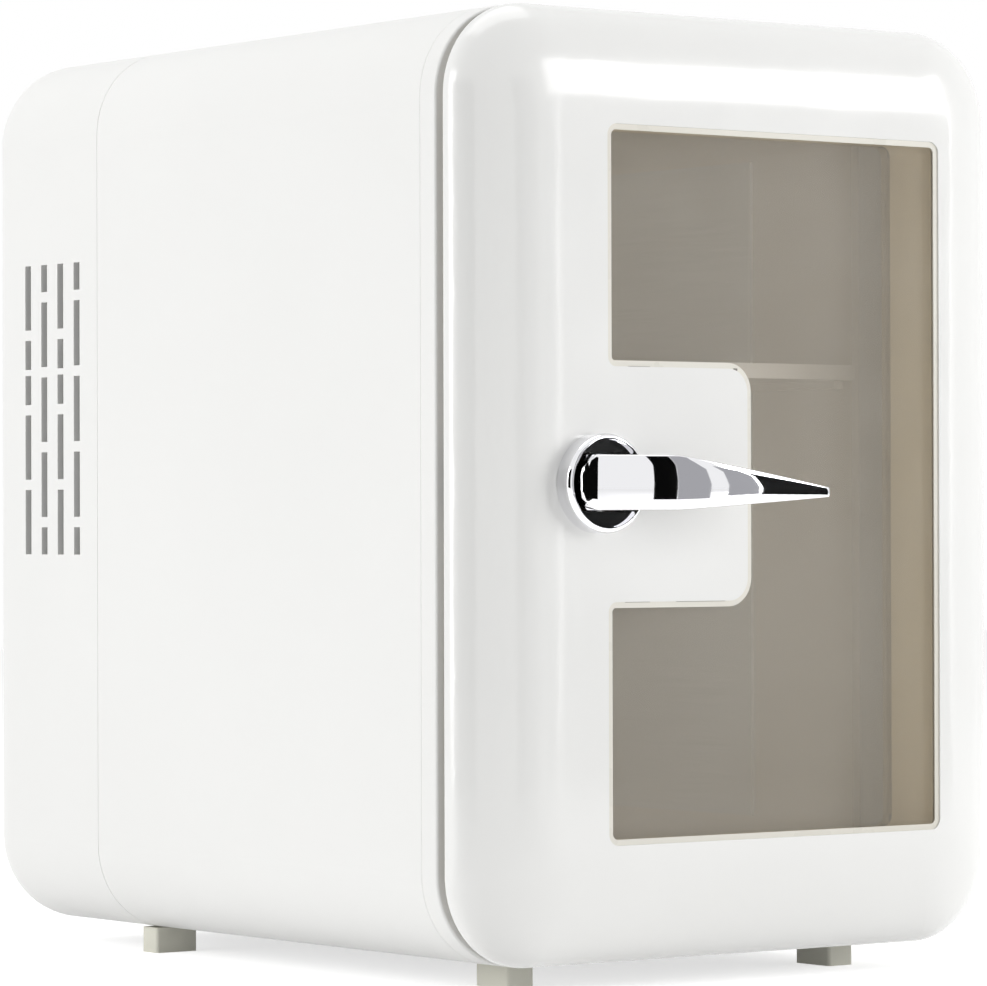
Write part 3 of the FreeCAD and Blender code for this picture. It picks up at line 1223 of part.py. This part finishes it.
# Inside the ring the drum is trimmed to a ball, which turns freely; in front of it, its left end is round.
drum_ball = doc.addObject("Part::Sphere", "drum_ball")
bind(drum_ball, "Radius", cell("rosette_bore") - cell("ball_gap"))
for letter, place in zip("xyz", (pivot_x, pivot_y, handle_z)):
    bind(drum_ball, "Placement.Base." + letter, place)
drum_room = block("drum_room", (pivot_x - 20, pivot_x + 20), (root_back, front + 14), (handle_z - 20, handle_z + 20))
left_room = block("left_room", (pivot_x - 20, pivot_x), (front - 20, root_back), (handle_z - 20, handle_z + 20))
left_round = rod("left_round", "y", pivot, front - 21, root_back + 1, cell("rosette_bore") - cell("front_trim"))
node("handle_lever", cut("handle_lever", lever, [cut("outside_ball", drum_room, [drum_ball]),
                                                 cut("outside_round", left_room, [left_round])]))

# The hook: a bent steel strip, screwed to the drum's flat back, that reaches through the door's slot.
hook = new_body("latch_hook")
seat_y = front + cell("hub_back")
arm_left = slot_left + 0.5
nose_left = slot_left - cell("hook_engagement")
nose_front = bezel_plate_back + 0.5
arm_step = arm_left + 8.5
extrude(hook, "Pad", "hook_strip", "XY_Plane", (handle_z - cell("hook_height") / 2, handle_z + cell("hook_height") / 2),
        outlines=[[(pivot_x + 8.4, seat_y, 0), (pivot_x + 8.4, seat_y + cell("hook_wall"), 0),
                   (arm_step + 2, seat_y + cell("hook_wall"), 0), (arm_step + 2, seat_y + 3.7, 0),
                   (arm_left + 3, seat_y + 3.7, 0), (arm_left + 3, nose_front + 2.7, 0),
                   (nose_left, nose_front + 2.7, 0), (nose_left, nose_front, 0),
                   (arm_left, nose_front, 0), (arm_left, seat_y + 1.7, 0),
                   (arm_step, seat_y + 1.7, 0), (arm_step, seat_y, 0)]])
extrude(hook, "Pocket", "hook_screw_holes", "XZ_Plane", (seat_y, seat_y + cell("hook_wall")),
        discs=[(place, cell("screw_radius")) for place in hook_screws])
extrude(hook, "Pocket", "hook_head_seats", "XZ_Plane",
        (seat_y + cell("hook_wall") - cell("flush_head_height"), seat_y + cell("hook_wall")),
        discs=[(place, cell("flush_head_radius")) for place in hook_screws])
node("latch_screws", group("latch_screws", [
    flush_screw("latch_screw_%d" % number, place, seat_y + cell("hook_wall"), front + 1, 1)
    for number, place in enumerate(hook_screws)]))

# ---------------------------------------------------------------- the latch's return spring
turns = []
for number in range(5):
    turn = doc.addObject("Part::Torus", "spring_turn_%d" % number)
    bind(turn, "Radius1", cell("lever_pin_radius") + cell("spring_wire") + cell("spring_room"))
    bind(turn, "Radius2", cell("spring_wire"))
    bind(turn, "Placement.Base.x", pivot_x)
    bind(turn, "Placement.Base.y", pivot_y)
    bind(turn, "Placement.Base.z", band_high + 0.7 + cell("spring_wire") * (1.7 * number))
    turns.append(turn)
spring = fuse("latch_spring", turns)
node("latch_spring", spring)

# ---------------------------------------------------------------- build, check and write
doc.recompute()
faults = []
for item in doc.Objects:
    if "Invalid" in item.State or "Error" in item.State:
        faults.append("%s is %s" % (item.Name, item.State))
for name, item in nodes.items():
    if item.Shape.isNull() or not item.Shape.isValid() or not item.Shape.Solids:
        faults.append("%s has no valid solid" % name)
if faults:
    raise RuntimeError("; ".join(faults))

os.makedirs("parts", exist_ok=True)
for name, item in nodes.items():
    item.Shape.exportStep("parts/%s.step" % name)
    print("%-24s %2d solid(s) %12.1f mm3" % (name, len(item.Shape.Solids), item.Shape.Volume))
print(len(nodes), "nodes")
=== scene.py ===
# %% [markdown]
# # A small thermoelectric fridge
# The fridge is a white plastic box with a rounded, windowed door, a chrome lever, a cooled inner box with one
# shelf, and a rear cover that hides the fan. Its exact solids come from the CAD frame. This lesson gives every
# surface its finish, adds the fine pieces that solids leave plain, and sets up the studio.

import json
from math import cos, pi, radians, sin

import bmesh
import bpy
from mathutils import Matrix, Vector


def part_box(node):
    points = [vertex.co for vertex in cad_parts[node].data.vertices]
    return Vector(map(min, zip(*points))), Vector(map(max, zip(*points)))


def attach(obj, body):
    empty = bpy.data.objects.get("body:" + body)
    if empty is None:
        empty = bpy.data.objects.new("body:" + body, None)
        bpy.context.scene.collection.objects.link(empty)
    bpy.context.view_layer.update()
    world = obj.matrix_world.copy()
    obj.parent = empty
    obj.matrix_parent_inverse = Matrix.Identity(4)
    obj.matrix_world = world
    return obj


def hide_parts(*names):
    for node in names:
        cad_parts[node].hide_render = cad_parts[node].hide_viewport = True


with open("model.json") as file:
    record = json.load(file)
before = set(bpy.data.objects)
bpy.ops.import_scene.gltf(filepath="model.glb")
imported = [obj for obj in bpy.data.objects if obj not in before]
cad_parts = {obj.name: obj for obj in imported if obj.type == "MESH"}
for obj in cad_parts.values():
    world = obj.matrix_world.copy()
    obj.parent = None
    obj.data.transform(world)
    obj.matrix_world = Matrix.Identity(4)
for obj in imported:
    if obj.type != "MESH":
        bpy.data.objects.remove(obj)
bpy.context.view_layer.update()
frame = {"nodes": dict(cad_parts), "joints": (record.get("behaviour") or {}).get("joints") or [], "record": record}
nodes = frame["nodes"]
record = frame["record"]
bpy.ops.object.select_all(action="DESELECT")

# %% [markdown]
# ## Camera
# A long lens far away keeps the box's edges nearly parallel. The camera stands in front and to the left, at half
# the fridge's height, and looks almost level, so neither the top nor the floor under it shows much.

# %% Set up the camera
camera_place = Vector((-0.8088, -1.08315, 0.1184))
camera_heading = 36.60
camera_rise = 0.38
camera_roll = 0.15
lens_length = 179.05

camera_data = bpy.data.cameras.new("camera")
camera_data.lens = lens_length
camera_data.sensor_width = 36.0
camera = bpy.data.objects.new("camera", camera_data)
camera.location = camera_place
camera.rotation_euler = (radians(90 + camera_rise), radians(camera_roll), radians(-camera_heading))
bpy.context.scene.collection.objects.link(camera)
bpy.context.scene.camera = camera

# %% [markdown]
# ## Light
# The room is a plain pale studio. The world gives an even base light. A camera, a mirror or a clear pane that looks
# past the fridge sees pure white, which the Light Path node switches on, so no extra light falls on the shell.

# %% Set up the world
world = bpy.data.worlds.new("studio")
bpy.context.scene.world = world
world.use_nodes = True
sky = world.node_tree.nodes
sky.clear()
room_level = 0.34
background = sky.new("ShaderNodeBackground")
background.inputs["Color"].default_value = (room_level, room_level, room_level * 0.995, 1)
white_wall = sky.new("ShaderNodeBackground")
white_wall.inputs["Color"].default_value = (1, 1, 1, 1)
rays = sky.new("ShaderNodeLightPath")
seen = sky.new("ShaderNodeMath")
seen.operation = "MAXIMUM"
seen_through = sky.new("ShaderNodeMath")
seen_through.operation = "MAXIMUM"
choose = sky.new("ShaderNodeMixShader")
output = sky.new("ShaderNodeOutputWorld")
wire = world.node_tree.links.new
wire(rays.outputs["Is Camera Ray"], seen.inputs[0])
wire(rays.outputs["Is Glossy Ray"], seen.inputs[1])
wire(seen.outputs[0], seen_through.inputs[0])
wire(rays.outputs["Is Transmission Ray"], seen_through.inputs[1])
wire(seen_through.outputs[0], choose.inputs[0])
wire(background.outputs[0], choose.inputs[1])
wire(white_wall.outputs[0], choose.inputs[2])
wire(choose.outputs[0], output.inputs["Surface"])
bpy.context.scene.view_settings.view_transform = "Standard"

# %% Hang the lamps
def soft_box(name, place, target, width, height, power):
    """A rectangular studio lamp that points at a place on the fridge."""
    lamp = bpy.data.lights.new(name, "AREA")
    lamp.shape = "RECTANGLE"
    lamp.size = width
    lamp.size_y = height
    lamp.energy = power
    holder = bpy.data.objects.new(name, lamp)
    holder.location = place
    holder.rotation_euler = (Vector(target) - Vector(place)).to_track_quat("-Z", "Y").to_euler()
    bpy.context.scene.collection.objects.link(holder)
    return holder


fridge_middle = (0, 0, 0.13)
soft_box("left_lamp", (-1.58, 0.28, 0.45), fridge_middle, 0.9, 1.1, 12.5)
soft_box("right_lamp", (1.03, -1.23, 0.45), fridge_middle, 0.9, 1.1, 14)
soft_box("top_lamp", (0, 0.1, 1.5), fridge_middle, 1.2, 1.2, 8)

# %% [markdown]
# Chrome only looks like chrome when it has something dark to mirror. Black cards and glowing grey cards stand round
# the fridge as a photographer would set them. They are seen by reflections alone, so they dim no light and stay out
# of every view.

# %% Mix the cards' two finishes: black paint, and a dim grey glow that paints a grey reflection
grey_glow_card = bpy.data.materials.new("grey_glow_card")
grey_glow_card.use_nodes = True
grey_glow_shader = grey_glow_card.node_tree.nodes["Principled BSDF"]
grey_glow_shader.inputs["Base Color"].default_value = (0, 0, 0, 1)
grey_glow_shader.inputs["Specular IOR Level"].default_value = 0.0
# The grey card glows instead of being lit, so the grey it shows in the chrome is a painted reflection.
grey_glow_shader.inputs["Emission Color"].default_value = (0.42, 0.42, 0.44, 1)
grey_glow_shader.inputs["Emission Strength"].default_value = 1.0
card_black = bpy.data.materials.new("card_black")
card_black.use_nodes = True
card_shader = card_black.node_tree.nodes["Principled BSDF"]
card_shader.inputs["Base Color"].default_value = (0.004, 0.004, 0.004, 1)
card_shader.inputs["Roughness"].default_value = 1.0
card_shader.inputs["Specular IOR Level"].default_value = 0.0

# %% Stand the cards
def stand_card(name, heading, distance, width, high, finish):
    """An upright card that stands at a heading round the fridge, counted from the front towards the right."""
    low = -0.05
    middle = Vector((sin(radians(heading)), -cos(radians(heading)), 0)) * distance
    bpy.ops.mesh.primitive_plane_add(size=1, location=(middle.x, middle.y, (low + high) / 2),
                                     rotation=(pi / 2, 0, radians(heading)))
    card = bpy.context.object
    card.name = name
    card.scale = (width, high - low, 1)
    bpy.ops.object.transform_apply(location=True, rotation=True, scale=True)
    card.data.materials.append(finish)
    card.visible_camera = False
    card.visible_diffuse = False
    card.visible_transmission = False
    card.visible_shadow = False


stand_card("card_left", -66, 1.0, 1.04, 0.55, card_black)
stand_card("card_strip", 3.5, 1.0, 0.10, 0.55, card_black)
stand_card("card_right", 40, 1.0, 0.46, 0.42, card_black)
stand_card("grey_glow_card_left", 10.5, 1.0, 0.14, 0.55, grey_glow_card)
stand_card("grey_glow_card_right", 23, 1.1, 0.14, 0.45, grey_glow_card)

# %% [markdown]
# ## Shared effects
# Moulded plastic is never one flat colour: it has a fine grain, a slow drift of tone and worn, slightly shinier
# places. The first group makes these, the second makes brushed metal. Both work on Object coordinates in metres, and
# each material sets its own values.

# %% Build the moulded skin group
def new_group(name, inputs, outputs):
    """An empty shader group with named sockets."""
    group = bpy.data.node_groups.new(name, "ShaderNodeTree")
    for title, kind, value in inputs:
        socket = group.interface.new_socket(title, in_out="INPUT", socket_type=kind)
        socket.default_value = value
    for title, kind in outputs:
        group.interface.new_socket(title, in_out="OUTPUT", socket_type=kind)
    return group


def mix_colours(tree, factor, first, second):
    """A colour mix whose three inputs are sockets or plain colours."""
    mix = tree.nodes.new("ShaderNodeMix")
    mix.data_type = "RGBA"
    for socket, value in ((mix.inputs["Factor"], factor), (mix.inputs["A"], first), (mix.inputs["B"], second)):
        if isinstance(value, bpy.types.NodeSocket):
            tree.links.new(value, socket)
        else:
            socket.default_value = value
    return mix.outputs["Result"]


def remap(tree, value, low, high, to_low, to_high):
    """Stretches a value from one range to another."""
    node = tree.nodes.new("ShaderNodeMapRange")
    node.inputs["From Min"].default_value = low
    node.inputs["From Max"].default_value = high
    for name, limit in (("To Min", to_low), ("To Max", to_high)):
        if isinstance(limit, bpy.types.NodeSocket):
            tree.links.new(limit, node.inputs[name])
        else:
            node.inputs[name].default_value = limit
    tree.links.new(value, node.inputs["Value"])
    return node.outputs["Result"]


def noise(tree, where, scale, detail=2.0):
    """A noise texture on the given coordinates."""
    node = tree.nodes.new("ShaderNodeTexNoise")
    node.inputs["Scale"].default_value = scale
    node.inputs["Detail"].default_value = detail
    tree.links.new(where, node.inputs["Vector"])
    return node.outputs["Fac"]


skin = new_group(
    "moulded_skin",
    [("Colour", "NodeSocketColor", (0.9, 0.9, 0.9, 1)), ("Shade", "NodeSocketColor", (0.8, 0.8, 0.8, 1)),
     ("Smooth", "NodeSocketFloat", 0.3), ("Rough", "NodeSocketFloat", 0.4)],
    [("Colour", "NodeSocketColor"), ("Roughness", "NodeSocketFloat"), ("Height", "NodeSocketFloat")])
grid = skin.nodes.new("ShaderNodeTexCoord").outputs["Object"]
given = skin.nodes.new("NodeGroupInput")
result = skin.nodes.new("NodeGroupOutput")
drift = noise(skin, grid, 9.0, 3.0)
pores = noise(skin, grid, 2600.0, 1.0)
handling = noise(skin, grid, 60.0, 4.0)
tint = mix_colours(skin, remap(skin, drift, 0.35, 0.7, 0.0, 1.0), given.outputs["Colour"], given.outputs["Shade"])
skin.links.new(tint, result.inputs["Colour"])
skin.links.new(remap(skin, handling, 0.3, 0.75, given.outputs["Smooth"], given.outputs["Rough"]),
               result.inputs["Roughness"])
skin.links.new(pores, result.inputs["Height"])

# %% Build the brushed metal group
brushing = new_group(
    "brushed_grain",
    [("Colour", "NodeSocketColor", (0.8, 0.8, 0.8, 1)), ("Shade", "NodeSocketColor", (0.6, 0.6, 0.6, 1)),
     ("Smooth", "NodeSocketFloat", 0.2), ("Rough", "NodeSocketFloat", 0.4),
     ("Stretch", "NodeSocketVector", (40.0, 40.0, 1500.0))],
    [("Colour", "NodeSocketColor"), ("Roughness", "NodeSocketFloat"), ("Height", "NodeSocketFloat")])
grid = brushing.nodes.new("ShaderNodeTexCoord").outputs["Object"]
given = brushing.nodes.new("NodeGroupInput")
result = brushing.nodes.new("NodeGroupOutput")
stretch = brushing.nodes.new("ShaderNodeVectorMath")
stretch.operation = "MULTIPLY"
brushing.links.new(grid, stretch.inputs[0])
brushing.links.new(given.outputs["Stretch"], stretch.inputs[1])
strokes = noise(brushing, stretch.outputs["Vector"], 1.0, 3.0)
tint = mix_colours(brushing, remap(brushing, strokes, 0.3, 0.7, 0.0, 1.0), given.outputs["Colour"],
                   given.outputs["Shade"])
brushing.links.new(tint, result.inputs["Colour"])
brushing.links.new(remap(brushing, strokes, 0.3, 0.7, given.outputs["Smooth"], given.outputs["Rough"]),
                   result.inputs["Roughness"])
brushing.links.new(strokes, result.inputs["Height"])

# %% [markdown]
# ## Finishes
# One function makes a material from a group: it links the group's colour, roughness and bump height to a Principled
# shader and sets everything that is the same all over on the shader's own sockets.

# %% Make the finishes
def new_finish(name, group, colour, shade, smooth, rough, bump=0.02, bump_size=0.0002, **constants):
    """A material that places one of the shared groups with its own values."""
    material = bpy.data.materials.new(name)
    material.use_nodes = True
    tree = material.node_tree
    shader = tree.nodes["Principled BSDF"]
    effect = tree.nodes.new("ShaderNodeGroup")
    effect.node_tree = group
    effect.inputs["Colour"].default_value = (*colour, 1)
    effect.inputs["Shade"].default_value = (*shade, 1)
    effect.inputs["Smooth"].default_value = smooth
    effect.inputs["Rough"].default_value = rough
    relief = tree.nodes.new("ShaderNodeBump")
    relief.inputs["Strength"].default_value = bump
    relief.inputs["Distance"].default_value = bump_size
    tree.links.new(effect.outputs["Colour"], shader.inputs["Base Color"])
    tree.links.new(effect.outputs["Roughness"], shader.inputs["Roughness"])
    tree.links.new(effect.outputs["Height"], relief.inputs["Height"])
    tree.links.new(relief.outputs["Normal"], shader.inputs["Normal"])
    for title, value in constants.items():
        shader.inputs[title.replace("_", " ").title().replace("Ior", "IOR")].default_value = value
    return material


finishes = {
    "white_shell": new_finish("white_shell", skin, (0.90, 0.90, 0.885), (0.885, 0.885, 0.87), 0.38, 0.46, 0.05),
    "white_gloss": new_finish("white_gloss", skin, (0.92, 0.92, 0.905), (0.905, 0.905, 0.89), 0.16, 0.22, 0.01,
                              coat_weight=0.5, coat_roughness=0.08),
    "liner_plastic": new_finish("liner_plastic", skin, (0.90, 0.84, 0.75), (0.87, 0.80, 0.70), 0.40, 0.5, 0.02),
    "frame_cream": new_finish("frame_cream", skin, (0.90, 0.79, 0.58), (0.87, 0.75, 0.53), 0.30, 0.4, 0.02),
    "foam": new_finish("foam", skin, (0.85, 0.80, 0.58), (0.78, 0.72, 0.50), 0.85, 0.95, 0.5, 0.001),
    "plate_aluminium": new_finish("plate_aluminium", brushing, (0.86, 0.86, 0.84), (0.80, 0.80, 0.78), 0.42, 0.55,
                                  0.02, metallic=0.2),
    "ceramic_white": new_finish("ceramic_white", skin, (0.88, 0.88, 0.86), (0.82, 0.82, 0.80), 0.6, 0.7, 0.2),
    "screw_steel": new_finish("screw_steel", brushing, (0.62, 0.62, 0.62), (0.52, 0.52, 0.52), 0.25, 0.4, 0.05,
                              metallic=1.0),
    "latch_steel": new_finish("latch_steel", brushing, (0.66, 0.66, 0.65), (0.56, 0.56, 0.55), 0.25, 0.4, 0.05,
                              metallic=1.0),
    "hinge_steel": new_finish("hinge_steel", skin, (0.88, 0.88, 0.87), (0.86, 0.86, 0.85), 0.3, 0.4, 0.1),
    "handle_chrome": new_finish("handle_chrome", skin, (0.86, 0.86, 0.88), (0.83, 0.83, 0.85), 0.02, 0.05, 0.0,
                                metallic=1.0),
    "black_plastic": new_finish("black_plastic", skin, (0.03, 0.03, 0.03), (0.04, 0.04, 0.04), 0.4, 0.55, 0.15),
    "switch_plastic": new_finish("switch_plastic", skin, (0.02, 0.02, 0.02), (0.03, 0.03, 0.03), 0.2, 0.3, 0.05),
    "copper_wire": new_finish("copper_wire", brushing, (0.60, 0.28, 0.12), (0.45, 0.18, 0.07), 0.25, 0.4, 0.3,
                              metallic=0.8),
    "contact_brass": new_finish("contact_brass", brushing, (0.80, 0.74, 0.55), (0.7, 0.64, 0.45), 0.2, 0.3, 0.05,
                                metallic=1.0),
    "board_green": new_finish("board_green", skin, (0.03, 0.16, 0.06), (0.04, 0.20, 0.08), 0.3, 0.4, 0.1),
    "transformer_core": new_finish("transformer_core", skin, (0.06, 0.06, 0.06), (0.09, 0.09, 0.08), 0.5, 0.7, 0.3),
    "capacitor_sleeve": new_finish("capacitor_sleeve", skin, (0.03, 0.04, 0.10), (0.04, 0.05, 0.12), 0.3, 0.4, 0.05),
    "seal_rubber": new_finish("seal_rubber", skin, (0.86, 0.80, 0.70), (0.82, 0.76, 0.66), 0.6, 0.75, 0.1),
    "foot_rubber": new_finish("foot_rubber", skin, (0.82, 0.81, 0.72), (0.76, 0.75, 0.65), 0.55, 0.7, 0.1),
}

# %% Make the clear window material, whose cream veil is a painted reflection
clear = new_finish("window_clear", skin, (0.90, 0.84, 0.74), (0.86, 0.80, 0.69), 0.05, 0.12, 0.0)
tree = clear.node_tree
shader = tree.nodes["Principled BSDF"]
# The cream veil thickens at glancing angles as a painted reflection on the glass; its warm tint is painted warm
# light on the inside seen through it.
edge_on = tree.nodes.new("ShaderNodeLayerWeight")
edge_on.inputs["Blend"].default_value = 0.25
cover = remap(tree, edge_on.outputs["Fresnel"], 0.0, 1.0, 0.10, 0.6)
tree.links.new(cover, shader.inputs["Alpha"])
finishes["window_clear"] = clear

# %% Give every CAD node its finish
slot_of = {piece["node"]: piece["material_slot"] for piece in record["subparts"]}
for name, piece in nodes.items():
    piece.data.materials.clear()
    piece.data.materials.append(finishes[slot_of[name]])

# %% [markdown]
# ## Lever
# The real lever is one bright casting: a drum that runs out into a long blade. Its face keeps turning slowly from
# the drum to the tip, and that slow turn is what draws the dark and light bands. The frame's lever has a flat
# face, so this one is extruded ring by ring along the lever, with the same ends and the same height.

# %% Find the lever's places
lever_low, lever_high = (Vector(corner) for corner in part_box("handle_lever"))
pivot = next(joint for joint in frame["joints"] if joint["name"] == "lever_pivot")["pos_m"]
mm = 0.001
drum_radius = 10.9 * mm
round_radius = 9.9 * mm
band_top = 7.1 * mm
band_bottom = -6.7 * mm
tip_top = -0.9 * mm
tip_bottom = -3.5 * mm
blade_turns = ((0.0, -20.0), (0.10, -18.2), (0.19, -15.2), (0.55, -5.0), (1.0, 4.0))
blade_end = lever_high.x - pivot[0]

# %% Work out the face of the blade
def blade_heading(share):
    """The direction that the face looks in, in degrees from the front, at a share of the blade's length."""
    for (start, first), (end, last) in zip(blade_turns, blade_turns[1:]):
        if share <= end:
            return first + (last - first) * (share - start) / (end - start)
    return blade_turns[-1][1]


drum_tangent = radians(blade_turns[0][1])
face = [(dx * mm, -(drum_radius ** 2 - (dx * mm) ** 2) ** 0.5) for dx in
        (-9.6, -9.2, -8.6, -7.8, -6.8, -5.6)]
face.append((drum_radius * sin(drum_tangent), -drum_radius * cos(drum_tangent)))
blade_steps = 22
stride = (blade_end - face[-1][0]) / blade_steps
blade_face = [face[-1]]
for step in range(1, blade_steps + 1):
    turn = radians(blade_heading((step - 0.5) / blade_steps))
    blade_face.append((blade_face[-1][0] + stride, blade_face[-1][1] + stride * sin(turn) / cos(turn)))
forward = (lever_low.y - pivot[1]) - min(y for x, y in blade_face)
print("The blade's face misses the frame's front by", forward)
face += [(x, y + forward * (x - face[-1][0]) / (blade_end - face[-1][0])) for x, y in blade_face[1:]]

# %% Extrude the lever along its face
crown = 0.45 * mm
face_levels = (1.0, 0.6, 0.0, -0.6, -1.0)


def lever_ring(x, y):
    """The seven corners of the lever's outline at one place along it."""
    along = min(max((x - 14 * mm) / (blade_end - 14 * mm), 0.0), 1.0)
    upper = band_top + (tip_top - band_top) * along
    lower = band_bottom + (tip_bottom - band_bottom) * along
    if x < 0:
        limit = (round_radius ** 2 - x ** 2) ** 0.5
        upper, lower = min(upper, limit), max(lower, -limit)
    if x < 5 * mm:
        back = 5.6 * mm
    elif x < 9 * mm:
        back = 5.6 * mm - (x - 5 * mm) / (4 * mm) * 11.2 * mm
    else:
        back = -5.6 * mm + (lever_low.y + 1.5 * mm - pivot[1] + 5.6 * mm) * (x - 9 * mm) / (blade_end - 9 * mm)
    back = max(back, y + 1.2 * mm)
    half, centre = (upper - lower) / 2, (upper + lower) / 2
    corners = [(x, y - crown * min(1, half / (4 * mm)) * (1 - level ** 2), centre + half * level)
               for level in face_levels]
    corners += [(x, back, lower), (x, back, upper)]
    return [Vector(pivot) + Vector(corner) for corner in corners]


bpy.ops.object.select_all(action="DESELECT")
bpy.ops.mesh.primitive_circle_add(vertices=7, radius=0.01, fill_type="NGON")
lever = bpy.context.object
lever.name = "lever_casting"
bpy.ops.object.mode_set(mode="EDIT")
sheet = bmesh.from_edit_mesh(lever.data)
last_ring = lever_ring(*face[0])
for corner, place in zip(list(sheet.verts), last_ring):
    corner.co = place
for place in face[1:]:
    bpy.ops.mesh.extrude_region_move()
    sheet = bmesh.from_edit_mesh(lever.data)
    next_ring = lever_ring(*place)
    for corner in [v for v in sheet.verts if v.select]:
        nearest = min(range(7), key=lambda number: (last_ring[number] - corner.co).length)
        corner.co = next_ring[nearest]
    last_ring = next_ring
bmesh.update_edit_mesh(lever.data)
bpy.ops.mesh.select_all(action="SELECT")
bpy.ops.mesh.normals_make_consistent(inside=False)
bpy.ops.object.mode_set(mode="OBJECT")
bpy.ops.object.transform_apply(location=True, rotation=True, scale=True)
soften = lever.modifiers.new("soft_edges", "BEVEL")
soften.width = 0.5 * mm
soften.segments = 3
soften.limit_method = "ANGLE"
soften.angle_limit = radians(50)
bpy.ops.object.modifier_apply(modifier="soft_edges")
bpy.ops.object.shade_smooth_by_angle(angle=radians(35))
lever.data.materials.append(finishes["handle_chrome"])
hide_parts("handle_lever")
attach(lever, "lever")
print("The lever has", len(lever.data.polygons), "faces")

# %% [markdown]
# ## Window bead
# A slim raised bead runs round the pane where it is glued into the door. It follows the pane's own outline, so it
# is made from a copy of the pane's front: the face is inset and its middle removed, and the ring gets a thickness.

# %% Make the bead from the pane's outline
bead_width = 2.7 * mm
bead_height = 0.35 * mm
pane_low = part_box("window_outer_pane")[0]
bead_mesh = nodes["window_outer_pane"].data.copy()
bead = bpy.data.objects.new("window_bead", bead_mesh)
bpy.context.scene.collection.objects.link(bead)
bpy.ops.object.select_all(action="DESELECT")
bead.select_set(True)
bpy.context.view_layer.objects.active = bead
bpy.ops.object.mode_set(mode="EDIT")
bpy.ops.mesh.select_mode(type="FACE")
bpy.ops.mesh.select_all(action="SELECT")
bpy.ops.mesh.remove_doubles(threshold=0.00001)
sheet = bmesh.from_edit_mesh(bead.data)
for side in sheet.faces:
    side.select_set(not (side.normal.y < -0.9 and side.calc_center_median().y < pane_low[1] + 0.0001))
bmesh.update_edit_mesh(bead.data)
bpy.ops.mesh.delete(type="FACE")
bpy.ops.mesh.select_all(action="SELECT")
bpy.ops.mesh.dissolve_limited(angle_limit=radians(1))
bpy.ops.mesh.inset(thickness=bead_width, use_boundary=True)
bpy.ops.mesh.delete(type="FACE")
bpy.ops.mesh.select_all(action="SELECT")
bpy.ops.mesh.extrude_region_move(TRANSFORM_OT_translate={"value": (0, -bead_height, 0)})
bpy.ops.mesh.select_all(action="SELECT")
bpy.ops.mesh.normals_make_consistent(inside=False)
bpy.ops.object.mode_set(mode="OBJECT")
finishes["bead"] = new_finish("bead_cream", skin, (0.80, 0.78, 0.71), (0.74, 0.71, 0.63), 0.25, 0.35, 0.02)
bead.data.materials.clear()
bead.data.materials.append(finishes["bead"])
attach(bead, "door")
print("The bead has", len(bead.data.polygons), "faces")

# %% Set the clip slots into the bead as small dark boxes, whose dark colour is painted shade
# The slot boxes' dark brown is painted shade: it stands for the shade inside the clip slots.
finishes["clip"] = new_finish("clip_shadow", skin, (0.20, 0.18, 0.15), (0.26, 0.24, 0.20), 0.5, 0.6, 0.02)
clip_height = 0.6 * mm
pad_top, pad_bottom = 0.1585, 0.0990
clip_y = pane_low[1] - 0.45 * mm
clip_places = ((-0.0385, pad_top - 0.0002, 0.007), (-0.0070, pad_top - 0.0002, 0.0012),
               (-0.0392, pad_bottom + 0.0002, 0.008), (-0.0186, pad_bottom + 0.0002, 0.016))
for number, (x, z, length) in enumerate(clip_places):
    bpy.ops.object.select_all(action="DESELECT")
    bpy.ops.mesh.primitive_cube_add(size=1, location=(x, clip_y, z))
    clip = bpy.context.object
    clip.name = "window_clip_%d" % number
    clip.scale = (length, 0.3 * mm, clip_height)
    bpy.ops.object.transform_apply(location=True, rotation=True, scale=True)
    bpy.ops.object.mode_set(mode="EDIT")
    bpy.ops.mesh.select_all(action="SELECT")
    bpy.ops.mesh.bevel(offset=0.08 * mm, segments=2)
    bpy.ops.object.mode_set(mode="OBJECT")
    clip.data.materials.append(finishes["clip"])
    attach(clip, "door")

# %% [markdown]
# ## Floor
# A pale sheet lies under the feet. It only shows the soft shadow: everywhere else it is as bright as the wall.

# %% Lay the floor
floor_brightness = 0.62
bpy.ops.mesh.primitive_plane_add(size=6.0, location=(0, 0, 0))
floor = bpy.context.object
floor.name = "floor"
floor_finish = bpy.data.materials.new("floor_white")
floor_finish.use_nodes = True
tree = floor_finish.node_tree
shader = tree.nodes["Principled BSDF"]
shader.inputs["Base Color"].default_value = (0.9, 0.9, 0.9, 1)
shader.inputs["Roughness"].default_value = 0.9
shader.inputs["Specular IOR Level"].default_value = 0.0
floor_rays = tree.nodes.new("ShaderNodeLightPath")
floor_seen = tree.nodes.new("ShaderNodeMath")
floor_seen.operation = "MULTIPLY"
floor_seen.inputs[1].default_value = floor_brightness
floor_both = tree.nodes.new("ShaderNodeMath")
floor_both.operation = "MAXIMUM"
tree.links.new(floor_rays.outputs["Is Camera Ray"], floor_both.inputs[0])
tree.links.new(floor_rays.outputs["Is Glossy Ray"], floor_both.inputs[1])
tree.links.new(floor_both.outputs[0], floor_seen.inputs[0])
tree.links.new(floor_seen.outputs[0], shader.inputs["Emission Strength"])
shader.inputs["Emission Color"].default_value = (1, 1, 1, 1)
floor.data.materials.append(floor_finish)
